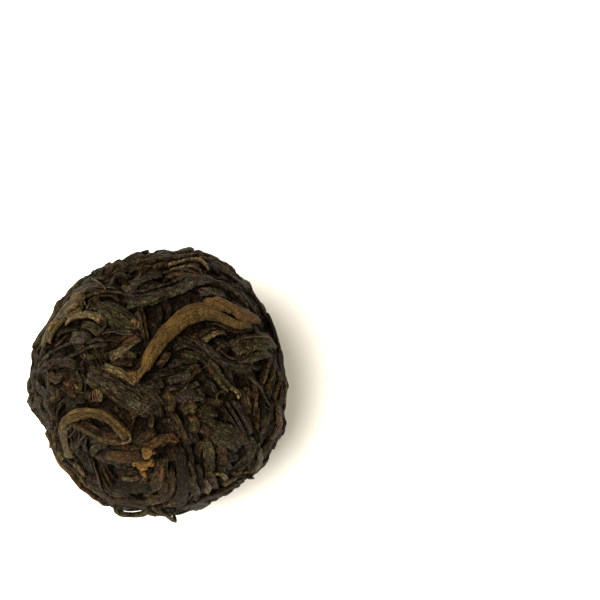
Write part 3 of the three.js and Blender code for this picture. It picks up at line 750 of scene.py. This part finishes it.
    ("brown", 7, 0, [(203, 444), (199, 453), (196, 464)]),
    ("grey", 5, 0.06, [(190, 482), (196, 494), (193, 506)]),
    ("brown", 4, 0.08, [(188, 466), (193, 480), (190, 496)], {"tone": 0.7}),
    ("dark", 13, 0.12, [(177, 450), (181, 468), (182, 488), (180, 508)],
     {"crease": 0.08, "crumple": 0.1, "tone": 0.52, "tip": (0.4, 0.6)}),
    ("stalk", 1.2, 0.15, [(170, 470), (171, 485), (168, 500)]),
    # lower left
    ("dark", 9, -0.05, [(80, 410), (70, 418), (66, 428)]),
    ("dark", 6, 0, [(78, 458), (84, 470), (90, 484)], {"tone": 0.75}),
    ("olive", 4.5, 0.05, [(84, 460), (90, 472), (96, 486)], {"tone": 0.8}),
    ("dark", 6, -0.05, [(76, 430), (76, 440), (72, 450)]),
    ("grey", 8, 0.05, [(84, 436), (80, 447), (82, 459)]),
    ("grey", 3, 0.14, [(89, 431), (81, 440), (75, 451)]),
    ("olive", 9, 0.05, [(106, 446), (96, 449), (88, 458)]),
    ("grey", 4, 0.1, [(90, 444), (98, 441), (107, 445)]),
    ("straw", 14, 0.2, [(70, 420), (62, 429), (60, 440), (62.5, 452), (68, 463)],
     {"lean": -0.05, "crumple": 0.22, "crease": 0.14, "creaseSpacing": 0.35, "stiffAcross": 0.5,
      "tip": (0.5, 0.6), "tone": 0.74}),
    ("tan", 2.2, 0.25, [(59, 423), (54.5, 432), (53.5, 442), (56, 453), (61.5, 463)], {"tone": 0.8}),
    ("red", 10, 0.1, [(76, 426), (88, 431), (100, 437), (114, 442)], {"tone": (0.8, 0.85)}),
    ("brown", 6, 0.22, [(71, 425), (80, 429), (90, 435), (101, 440.5), (113, 444), (124, 443)]),
    ("gold", 11, 0.26, [(62, 428), (68, 420), (77, 415.5), (89, 415), (101, 418), (112, 425), (121, 433),
                        (127.5, 441)],
     {"crease": 0.32, "creaseSpacing": 0.3, "crumple": 0.3, "tone": 0.7, "tip": (0.5, 0.7),
      "flatness": 5, "uneven": 0.2}),
    ("gold", 3.5, 0.32, [(66, 418), (73, 412.5), (84, 410.5), (96, 412), (107, 417), (117, 425), (126, 434)],
     {"tone": 0.85}),
    ("tan", 2.6, 0.3, [(126, 432), (130, 438), (128, 443), (120, 444.5)]),
    ("brown", 5, 0.1, [(106, 450), (118, 450), (130, 452), (140, 449), (151, 443)]),
    ("rust", 11, 0.18, [(102, 459), (111, 459), (121, 460), (131, 460.5), (141, 458)],
     {"start": 0.15, "tip": (0.7, 0.8), "fullness": (2.5, 3), "tone": 0.32, "crease": 0.15}),
    ("orange", 7.5, 0.2, [(145, 459), (148, 452), (153, 446), (160, 442), (169, 441), (180, 442)],
     {"tone": 0.6, "tip": (0.4, 0.7), "crease": 0.15}),
    ("flake", 9, 0.26, [(141, 460), (146, 456), (153, 451)], {"tip": (0.6, 0.8)}),
    ("flake", 5.5, 0.3, [(130, 465), (137, 467), (144, 468), (150, 465), (153, 462)]),
    ("flake", 5, 0.3, [(134, 472), (141, 472.5), (148, 471)]),
    ("flake", 3.5, 0.28, [(138, 475), (142, 478), (147, 479)]),
    ("brown", 12, 0.12, [(156, 464), (158.5, 474), (157, 484), (152, 493)],
     {"tip": (0.6, 0.8), "tone": 0.8}),
    ("orange", 4, 0.16, [(160, 468), (161, 476), (158, 485)], {"tone": 0.8}),
    ("olive", 1.6, 0.25, [(135, 415), (131, 426), (128, 437)]),
    ("brown", 6, 0.03, [(148, 413), (150, 422), (148, 431)]),
    ("brown", 8, 0, [(132, 446), (143, 440), (155, 434)]),
    ("olive", 8, -0.05, [(128, 418), (138, 412), (148, 408)]),
    ("grey", 6, 0.05, [(110, 470), (120, 474), (133, 474)]),
    ("olive", 4, 0.12, [(111, 476), (119, 480), (130, 480), (139, 477)], {"tone": 0.85}),
    ("khaki", 3, 0.12, [(119, 483), (128, 484), (138, 482)], {"tone": 0.7}),
    ("brown", 5, 0.12, [(90, 466), (95, 478), (99, 490), (105, 499)], {"tone": 0.75}),
    ("tan", 4.5, 0.12, [(100, 474), (104, 482), (110, 491)]),
    ("olive", 5, 0.05, [(100, 464), (104, 472), (108, 480)], {"tone": 0.8}),
    ("dark", 15, 0.02, [(110, 490), (128, 493), (149, 491)], {"tone": 0.75, "tip": (0.8, 1)}),
    ("brown", 9, 0.12, [(98, 497), (112, 503), (128, 506), (144, 507), (157, 504), (166, 498), (170, 488),
                        (170, 474)],
     {"crease": 0.14, "tone": 0.78}),
    ("dark", 5, 0, [(165, 461), (164, 470), (166, 482)]),
    ("brown", 7, 0, [(163, 484), (163, 492), (159, 500)]),
    # a grey leaf across the middle, and the loose flake below the rim
    ("grey", 10, 0.04, [(176, 404), (185, 397), (195, 391)]),
    ("olive", 5, 0.75, [(112, 509), (122, 513), (134, 515.5), (149, 514.5)],
     {"thick": 0.3, "dip": 0.7, "dipSharpness": 5, "lean": 0.02, "tip": (0.3, 0.7)}),
]
shownSpacing = 0.2  # length of leaf from one cross-section to the next
shownForm = {  # what sets these leaves apart from the scattered ones of their kind
    "leaf": {"around": 15, "uneven": 0.12, "torn": 0.3, "crumple": 0.14, "crease": 0.1, "tip": (0.6, 1.0),
             "fullness": (3, 8), "sinks": 0.25, "stiff": 1.0, "stiffAcross": 0.2, "bridging": 0.45},
    "bud": {"sinks": 0.0}, "budTip": {"sinks": 0.0}, "flake": {"sinks": 0.0}, "stalk": {"sinks": 0.0},
}
shownPaths = [smoothPath(seenDirection(places), shownSpacing) for _, _, _, places, *_ in shownLeaves]
shownPoints = np.concatenate(shownPaths)
shownHeadings = np.concatenate([unit(np.gradient(path, axis=0)) for path in shownPaths])

scatter = {
    "reach": 1.8,  # how far off a shown leaf still turns the others, in mm
    "swirlShare": 0.5,  # weight of the swirl against one shown leaf's point
    "jitter": 0.25,  # how far leaves are moved out of the spiral, as a share of their spacing
    "bow": 0.12,  # how far they bow, as a share of half their length
    "frontFrom": 0.05,  # leaves that face the view more than this are in front
    "spiralTurn": 0.7,  # from one layer's spiral to the next one's, in radians
}


# The way that the leaves near a direction lie: the main axis of the shown leaves' headings, weighted by a
# bell of their distance; elsewhere a slow swirl over the ball, its turn the sum of two waves.
def lieNear(middle):
    distance = np.linalg.norm(shownPoints - middle, axis=1) * meanRadius
    weight = np.exp(-((distance / scatter["reach"]) ** 2))
    tensor = (shownHeadings * weight[:, None]).T @ shownHeadings
    east = unit(np.cross([0.13, 0.21, 1.0], middle))
    north = np.cross(middle, east)
    swirl = 2.2 * math.sin(2.1 * middle[0] + 1.3) + 2.0 * math.cos(2.4 * middle[1] - 1.7 * middle[2])
    swirlHeading = east * math.cos(swirl) + north * math.sin(swirl)
    tensor = tensor + scatter["swirlShare"] * np.outer(swirlHeading, swirlHeading)
    heading = np.linalg.eigh(tensor)[1][:, 2]
    return unit(heading - middle * (heading @ middle))


# Directions spread evenly over the ball on a spiral, each moved a little.
def spreadDirections(count, shift):
    k = np.arange(count) + 0.5
    z = 1 - 2 * k / count
    turn = k * math.pi * (3 - math.sqrt(5)) + shift  # the golden angle from each to the next
    ring = np.sqrt(1 - z**2)
    spread = np.stack([ring * np.cos(turn), ring * np.sin(turn), z], axis=1)
    return unit(spread + rng.normal(0, scatter["jitter"] / math.sqrt(count), (count, 3)))


# Scattered leaves, in layers from the core outwards. Face is the share of them that is laid in front, where
# the shown leaves follow.
leafLayers = [
    {"count": 300, "width": (1.6, 2.8), "length": (5, 9), "turn": 0.5, "lift": 0.0, "spacing": 0.42,
     "face": 1.0, "kinds": {"dark": 3, "grey": 2.5, "olive": 2, "brown": 2.5}},
    {"count": 360, "width": (1.0, 2.3), "length": (3.5, 8), "turn": 0.45, "lift": 0.0, "spacing": 0.3,
     "face": 0.6, "kinds": {"dark": 3, "grey": 3, "olive": 2.3, "brown": 2.3, "red": 1, "tan": 0.3}},
    {"count": 360, "width": (0.7, 1.8), "length": (1.6, 5), "turn": 0.5, "lift": -0.05, "spacing": 0.25,
     "face": 0.6, "kinds": {"dark": 3, "grey": 2.8, "olive": 2.3, "brown": 2.5, "red": 1, "tan": 0.4}},
    {"count": 520, "width": (0.3, 0.7), "length": (0.4, 1.1), "turn": 1.5, "lift": 0.0, "spacing": 0.18,
     "face": 0.9, "kinds": {"crumb": 1}},
    {"count": 480, "width": (0.12, 0.3), "length": (1.0, 4.0), "turn": 0.5, "lift": 0.02, "spacing": 0.25,
     "face": 0.9, "kinds": {"sliver": 1}},
    {"count": 150, "width": (0.6, 1.7), "length": (3, 9), "turn": 0.4, "lift": 0.05, "spacing": 0.27,
     "face": 0.0, "kinds": {"dark": 3, "grey": 3, "olive": 2.5, "brown": 2, "red": 1, "tan": 1.5,
                            "orange": 0.5, "gold": 0.6}},
]


# Lays one layer: each leaf gets its kind, width, length and bow by chance, and lies nearly as those near it.
def layLayer(layer, shift):
    kinds = list(layer["kinds"])
    chance = np.array(list(layer["kinds"].values()), float)
    for middle in spreadDirections(layer["count"], shift):
        width = rng.uniform(*layer["width"])
        length = rng.uniform(*layer["length"])
        kind = rng.choice(kinds, p=chance / chance.sum())
        bow = rng.normal(0, scatter["bow"])
        turn = rng.normal(0, layer["turn"])
        facing = middle @ towardsView
        if facing > scatter["frontFrom"] and rng.uniform() > layer["face"]:
            continue
        heading = lieNear(middle)
        side = np.cross(heading, middle)
        heading = heading * math.cos(turn) + side * math.sin(turn)
        path = bowedPath(middle, heading, length, bow, layer["spacing"])
        layLeaf(kind, path, width, layer["lift"])


for number, layer in enumerate(leafLayers):
    layLayer(layer, scatter["spiralTurn"] * number)
print("tea pearl: the scattered leaves are laid")
for (kind, width, lift, _, *changes), path in zip(shownLeaves, shownPaths):
    form = {**shownForm.get(kind, shownForm["leaf"]), **(changes[0] if changes else {})}
    layLeaf(kind, path, width * pixel, lift, **form)
print("tea pearl: the leaves in front are laid")

# The core under the leaves: a round body with ridged lumps, most of it hidden. Lengths are in millimetres.
core = {
    "rows": 90,
    "columns": 180,
    "rise": 0.25,  # over the depth that the leaves start from
    "lump": 0.3,  # height of the lumps
    "lumpSteepness": 7,  # radians of their waves over the ball's radius
    "lumpWaves": 5,
    "hue": "#1d1710",
}


# Latitude by longitude grid: height = the core's depth + the mean of waves folded at zero. The points of the
# first row all lie on one pole and those of the last on the other.
def coreGrid():
    v = np.linspace(0, np.pi, core["rows"])[:, None]
    u = np.linspace(0, -2 * np.pi, core["columns"], endpoint=False)[None, :]  # this way round faces outwards
    d = np.stack([np.sin(v) * np.cos(u), np.sin(v) * np.sin(u), np.cos(v) + 0 * u], axis=-1)
    waves = [np.abs(np.sin(d @ rng.normal(0, core["lumpSteepness"], 3) + rng.uniform(*phaseRange)))
             for _ in range(core["lumpWaves"])]
    h = -ball["coreDepth"] + core["rise"] + core["lump"] * (np.mean(waves, axis=0) - 0.5)
    return d, h


# Faces of one closed grid: quads round and along it, and a fan over each end.
def gridFaces(rows, columns):
    i = np.arange(rows - 1)[:, None]
    j = np.arange(columns)[None, :]
    following = (j + 1) % columns
    quads = np.stack([i * columns + j, i * columns + following, (i + 1) * columns + following,
                      (i + 1) * columns + j], axis=-1).reshape(-1, 4)
    k = np.arange(1, columns - 1)
    last = (rows - 1) * columns
    nearEnd = np.stack([0 * k, k + 1, k], axis=1)
    farEnd = np.stack([last + 0 * k, last + k, last + k + 1], axis=1)
    return quads, np.concatenate([nearEnd, farEnd])


# One smooth-shaded object from points in millimetres, with each point's colour and place along its leaf.
def addMesh(name, points, quads, fans, material, colours, uvs):
    mesh = bpy.data.meshes.new(name)
    mesh.vertices.add(len(points))
    mesh.vertices.foreach_set("co", (points * mm).astype(np.float32).ravel())
    corners = np.concatenate([quads.ravel(), fans.ravel()]).astype(np.int32)
    starts = np.concatenate([np.arange(len(quads)) * 4, 4 * len(quads) + np.arange(len(fans)) * 3])
    mesh.loops.add(len(corners))
    mesh.loops.foreach_set("vertex_index", corners)
    mesh.polygons.add(len(starts))
    mesh.polygons.foreach_set("loop_start", starts.astype(np.int32))
    mesh.polygons.foreach_set("use_smooth", np.ones(len(starts), dtype=bool))
    tint = mesh.color_attributes.new("leafTint", "FLOAT_COLOR", "POINT")
    tint.data.foreach_set("color", np.c_[colours, np.ones(len(colours))].astype(np.float32).ravel())
    uvLayer = mesh.uv_layers.new(name="alongLeaf")
    uvLayer.data.foreach_set("uv", uvs[corners].astype(np.float32).ravel())
    mesh.update(calc_edges=True)
    mesh.validate()
    mesh.materials.append(material)
    piece = bpy.data.objects.new(name, mesh)
    bpy.context.scene.collection.objects.link(piece)
    return piece


# All leaves of one piece as one set of points and faces, each point's colour darkened by painted shade as far
# as it lies in a gap.
def joinGrids(grids):
    quads, fans, start = [], [], 0
    for d, h, _, _ in grids:
        gridQuads, gridFans = gridFaces(*h.shape)
        quads.append(gridQuads + start)
        fans.append(gridFans + start)
        start += h.size
    directions = np.concatenate([d.reshape(-1, 3) for d, _, _, _ in grids])
    heights = np.concatenate([h.ravel() for _, h, _, _ in grids])
    colours = np.concatenate([colour.reshape(-1, 3) for _, _, colour, _ in grids])
    uvs = np.concatenate([uv.reshape(-1, 2) for _, _, _, uv in grids])
    # painted shade in the gaps, baked into the point colours
    colours = colours * paintedGapLight(directions, heights)[:, None] ** gapShadeForm["warmth"]
    return pointsOf(directions, heights), np.concatenate(quads), np.concatenate(fans), colours, uvs


# Adds a node with its settings and links.
def node(tree, kind, settings=None, links=None):
    made = tree.nodes.new(kind)
    for name, value in (settings or {}).items():
        if name in made.inputs:
            made.inputs[name].default_value = value
        else:
            setattr(made, name, value)
    for name, source in (links or {}).items():
        tree.links.new(source, made.inputs[name])
    return made


rampGain = 4.6  # takes middle grey to 1, so that a ramp's grey changes nothing
noiseRange = (0.3, 0.7)  # where nearly all of a noise lies


# Fermented tea leaf, rolled, pressed and dried: a dull waxy blade, shrunk into a net of wrinkles that runs
# along it. The eye gets a satin-matt brown black, streaked lengthwise, with olive, tan and grey patches.
def leafMaterial(name, look):
    material = bpy.data.materials.new(name)
    material.use_nodes = True
    tree = material.node_tree
    tree.nodes.clear()
    tint = node(tree, "ShaderNodeAttribute", {"attribute_name": "leafTint"})
    along = node(tree, "ShaderNodeUVMap", {"uv_map": "alongLeaf"})
    place = node(tree, "ShaderNodeTexCoord")
    grain = node(tree, "ShaderNodeTexNoise", {"Scale": 1 / (look["grain"] * mm), "Detail": 1.0},
                 {"Vector": place.outputs["Object"]})
    stretch = node(tree, "ShaderNodeMapping", {"Scale": (1 / look["veinSpacing"], 1 / look["veinLength"], 1)},
                   {"Vector": along.outputs["UV"]})
    veins = node(tree, "ShaderNodeTexNoise", {"Scale": 1.0, "Detail": 1.0, "Roughness": 0.6},
                 {"Vector": stretch.outputs["Vector"]})
    bend = node(tree, "ShaderNodeTexNoise", {"Scale": 1 / (look["netSize"][0] * mm), "Detail": 1.0},
                {"Vector": place.outputs["Object"]})
    bent = node(tree, "ShaderNodeMix", {"data_type": "VECTOR", "Factor": look["netBend"]},
                {"A": along.outputs["UV"], "B": bend.outputs["Color"]})
    netStretch = node(tree, "ShaderNodeMapping",
                      {"Scale": (1 / look["netSize"][0], 1 / look["netSize"][1], 1)},
                      {"Vector": bent.outputs["Result"]})
    net = node(tree, "ShaderNodeTexVoronoi", {"feature": "DISTANCE_TO_EDGE", "Scale": 1.0},
               {"Vector": netStretch.outputs["Vector"]})
    swollen = node(tree, "ShaderNodeMapRange", {"From Min": 0.0, "From Max": look["netSwell"]},
                   {"Value": net.outputs["Distance"]})
    # The net's lines darken the colour: painted shade in its wrinkles, where the bump also sinks.
    line = node(tree, "ShaderNodeMapRange",
                {"From Min": 0.0, "From Max": look["netLine"], "To Min": look["netLineShade"][0],
                 "To Max": look["netLineShade"][1]}, {"Value": net.outputs["Distance"]})
    blotch = node(tree, "ShaderNodeTexNoise",
                  {"Scale": 1 / (look["patch"] * mm), "Detail": 4.0, "Roughness": 0.65},
                  {"Vector": place.outputs["Object"]})
    cloud = node(tree, "ShaderNodeTexNoise", {"Scale": 1 / (look["tinge"] * mm), "Detail": 1.0},
                 {"Vector": place.outputs["Object"]})
    colour = tint.outputs["Color"]
    for noise, hues in ((blotch, look["patchHues"]), (cloud, look["tingeHues"])):
        ramp = node(tree, "ShaderNodeValToRGB", links={"Fac": noise.outputs["Fac"]})
        for _ in hues[2:]:  # a new ramp has two stops
            ramp.color_ramp.elements.new(0.5)
        for stop, (position, hue) in zip(ramp.color_ramp.elements, hues):
            stop.position = position
            stop.color = (*(linear(hue) * rampGain), 1)
        product = node(tree, "ShaderNodeVectorMath", {"operation": "MULTIPLY"},
                       {0: colour, 1: ramp.outputs["Color"]})
        colour = product.outputs["Vector"]
    # The streaks and specks darken the colour where they also lower the relief: partly the leaf's own
    # mottling, partly painted shade in its fine wrinkles.
    tones = []
    for source, (low, high) in ((veins, look["streak"]), (grain, look["speck"])):
        tones.append(node(tree, "ShaderNodeMapRange",
                          {"From Min": noiseRange[0], "From Max": noiseRange[1], "To Min": low,
                           "To Max": high}, {"Value": source.outputs["Fac"]}))
    for tone in (*tones, line):
        scaled = node(tree, "ShaderNodeVectorMath", {"operation": "SCALE"},
                      {0: colour, "Scale": tone.outputs["Result"]})
        colour = scaled.outputs["Vector"]
    height = swollen.outputs["Result"]
    for source, share in ((veins, look["veinShare"]), (grain, look["grainShare"])):
        added = node(tree, "ShaderNodeMath", {"operation": "MULTIPLY_ADD"},
                     {0: source.outputs["Fac"], 2: height})
        added.inputs[1].default_value = share
        height = added.outputs[0]
    bump = node(tree, "ShaderNodeBump", {"Strength": look["bump"], "Distance": look["relief"] * mm},
                {"Height": height})
    dullness = node(tree, "ShaderNodeMapRange",
                    {"To Min": look["roughness"][0], "To Max": look["roughness"][1]},
                    {"Value": grain.outputs["Fac"]})
    shader = node(tree, "ShaderNodeBsdfPrincipled", {"IOR": look["ior"], "Specular IOR Level": look["gloss"],
                                                     "Specular Tint": (*linear(look["glint"]), 1)},
                  {"Base Color": colour, "Roughness": dullness.outputs["Result"],
                   "Normal": bump.outputs["Normal"]})
    if look["down"]:
        shader.inputs["Sheen Weight"].default_value = look["down"]
        shader.inputs["Sheen Roughness"].default_value = look["downRoughness"]
        shader.inputs["Sheen Tint"].default_value = (*linear(look["downHue"]), 1)
    node(tree, "ShaderNodeOutputMaterial", links={"Surface": shader.outputs["BSDF"]})
    return material


# Lengths are in millimetres, tones are factors on the leaf's own colour, and the veins' and the grain's
# shares of the relief count against the net's, which is 1. The net's line and swell are shares of its size.
leafLook = {
    "veinSpacing": 0.14, "veinLength": 0.9, "streak": (0.42, 1.58), "veinShare": 0.8,
    "netSize": (0.45, 0.8), "netBend": 0.3, "netLineShade": (0.3, 1.13), "netLine": 0.09, "netSwell": 0.3,
    "grain": 0.2, "speck": (0.38, 1.62), "grainShare": 1.5,
    "patch": 0.9, "patchHues": ((0.32, "#66615a"), (0.5, "#7c7872"), (0.68, "#9a9793")),
    "tinge": 1.3, "tingeHues": ((0.4, "#807f6e"), (0.6, "#817472")),
    "bump": 1.0, "relief": 0.2, "roughness": (0.5, 0.75), "ior": 1.45, "gloss": 0.07, "glint": "#fbeedb",
    "down": 0.0, "downRoughness": 0.5, "downHue": "#c9a878",
}
materials = {
    "fermented": leafMaterial("fermented_leaf", leafLook),
    # A young leaf keeps more of its wax and has turned tan, not black: the same net, a little glossier.
    "young": leafMaterial("young_leaf", {**leafLook, "gloss": 0.2}),
    # A bud is wrapped in fine pale down that the pressing has laid flat: matt, and softer than a leaf.
    "downy": leafMaterial("downy_bud", {
        **leafLook, "veinSpacing": 0.13, "veinLength": 1.2, "streak": (0.5, 1.5), "speck": (0.5, 1.5),
        "netLineShade": (0.85, 1.05), "patchHues": ((0.3, "#747068"), (0.5, "#7c7872"), (0.7, "#87827a")),
        "tingeHues": ((0.4, "#7d7a70"), (0.6, "#7d766f")), "relief": 0.09, "down": 0.1,
        "roughness": (0.65, 0.85)}),
    # A stalk is a bare woody rib, dried hard: nearly even in colour, with the faintest of wrinkles.
    "stalk": leafMaterial("dry_stalk", {**leafLook, "streak": (0.8, 1.2), "netLineShade": (0.9, 1.0)}),
}
pieceMaterials = {  # the other pieces are fermented leaf
    "tan_leaves": "young", "ochre_leaves": "young", "golden_buds": "downy", "bud_flakes": "downy",
    "stalks": "stalk",
}

coreDirections, coreHeights = coreGrid()
coreColour = np.broadcast_to(linear(core["hue"]), coreDirections.shape)
pieces["pressed_core"] = [(coreDirections, coreHeights, coreColour, coreDirections[..., :2] * meanRadius)]

# Its tips may stand out a little, so the ball is brought in to the frame's box. Its foot is pressed flat.
everything = np.concatenate([pointsOf(d, h).reshape(-1, 3)
                             for grids in pieces.values() for d, h, _, _ in grids])
lowest, highest = everything.min(0), everything.max(0)
boxMiddle = (lowest + highest) / 2
fit = ball["fill"] * cadSize / (highest - np.array([lowest[0], lowest[1], 0.0]))
print("tea pearl: spans", np.round(highest - lowest, 2), "mm, brought in by", np.round(fit, 4))


# Points moved to the middle of the box and scaled into it, with what is under the floor lifted onto it.
def fitted(points):
    moved = (points - [boxMiddle[0], boxMiddle[1], 0]) * fit
    moved[:, 2] = np.maximum(moved[:, 2], 0)
    return moved


for name, grids in pieces.items():
    points, quads, fans, colours, uvs = joinGrids(grids)
    material = materials[pieceMaterials.get(name, "fermented")]
    piece = addMesh(name, fitted(points), quads, fans, material, colours, uvs)
    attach(piece, "root")
    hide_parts("tea_pearl")
    print("tea pearl:", name, len(grids), "leaves", 2 * len(quads) + len(fans), "triangles")

# The floor is a pale matt board, a painted one: the eye gets an even off-white.
board = {"size": 1.2, "hue": "#f6f5f1", "roughness": 0.8}  # the size in metres
bpy.ops.mesh.primitive_grid_add(size=board["size"], x_subdivisions=2, y_subdivisions=2)
floor = bpy.context.object
floor.name = "floor"
floorMaterial = bpy.data.materials.new("pale_board")
floorMaterial.use_nodes = True
floorShader = floorMaterial.node_tree.nodes["Principled BSDF"]
floorShader.inputs["Base Color"].default_value = (*linear(board["hue"]), 1)
floorShader.inputs["Roughness"].default_value = board["roughness"]
floor.data.materials.append(floorMaterial)


# The matrix that stands something at a place in millimetres: its three axes and the place, in columns.
def standing(right, up, back, place):
    return Matrix([*np.column_stack([right, up, back, place * mm]), (0, 0, 0, 1)])


# The camera looks down on the ball, which lies left of and below the middle of the picture.
shot = {
    "across": 64.1,  # width of the picture at the ball, in mm
    "shift": (1.5, 0.0),  # moves the ball in the picture, right and up, in its pixels
    "sensor": 36,  # width of the camera's sensor, in mm
    "clip": (0.01, 10),  # how near and how far it sees, in metres
}
cameraData = bpy.data.cameras.new("camera")
camera = bpy.data.objects.new("camera", cameraData)
bpy.context.scene.collection.objects.link(camera)
bpy.context.scene.camera = camera
shownCentre = fitted(centre[None])[0]
eye = shownCentre + viewDistance * towardsView
aim = (pictureSize / 2 - pictureMiddle - shot["shift"]) * (1, -1) * shot["across"] / pictureSize
target = shownCentre + aim[0] * seenRight + aim[1] * seenUp
back = unit(eye - target)
right = unit(seenRight - back * (seenRight @ back))
up = np.cross(back, right)
camera.matrix_world = standing(right, up, back, eye)
cameraData.sensor_width = shot["sensor"]
cameraData.lens = shot["sensor"] * np.linalg.norm(eye - target) / shot["across"]
cameraData.clip_start, cameraData.clip_end = shot["clip"]

# Soft light: a large lamp high on the left in front, a weaker one lower in front, and a pale surround.
lamps = [
    {"name": "window", "place": (-240, -170, 520), "size": 430, "power": 10.3, "hue": "#fffaf4"},
    {"name": "fill", "place": (160, -360, 520), "size": 500, "power": 1.2, "hue": "#fff6e8"},
]
surround = {"hue": "#fff4d8", "strength": 0.38}
for lamp in lamps:
    lampData = bpy.data.lights.new(lamp["name"], "AREA")
    lampData.shape = "DISK"
    lampData.size = lamp["size"] * mm
    lampData.energy = lamp["power"]
    lampData.color = tuple(linear(lamp["hue"]))
    light = bpy.data.objects.new(lamp["name"], lampData)
    bpy.context.scene.collection.objects.link(light)
    place = np.array(lamp["place"], float)
    towards = unit(place - centre)
    sideAxis = unit(np.cross([0, 0, 1], towards))
    upAxis = np.cross(towards, sideAxis)
    light.matrix_world = standing(sideAxis, upAxis, towards, place)
world = bpy.data.worlds.new("surround")
world.use_nodes = True
worldNode = world.node_tree.nodes["Background"]
worldNode.inputs["Color"].default_value = (*linear(surround["hue"]), 1)
worldNode.inputs["Strength"].default_value = surround["strength"]
bpy.context.scene.world = world
bpy.context.scene.view_settings.view_transform = "Standard"

print("tea pearl: done")
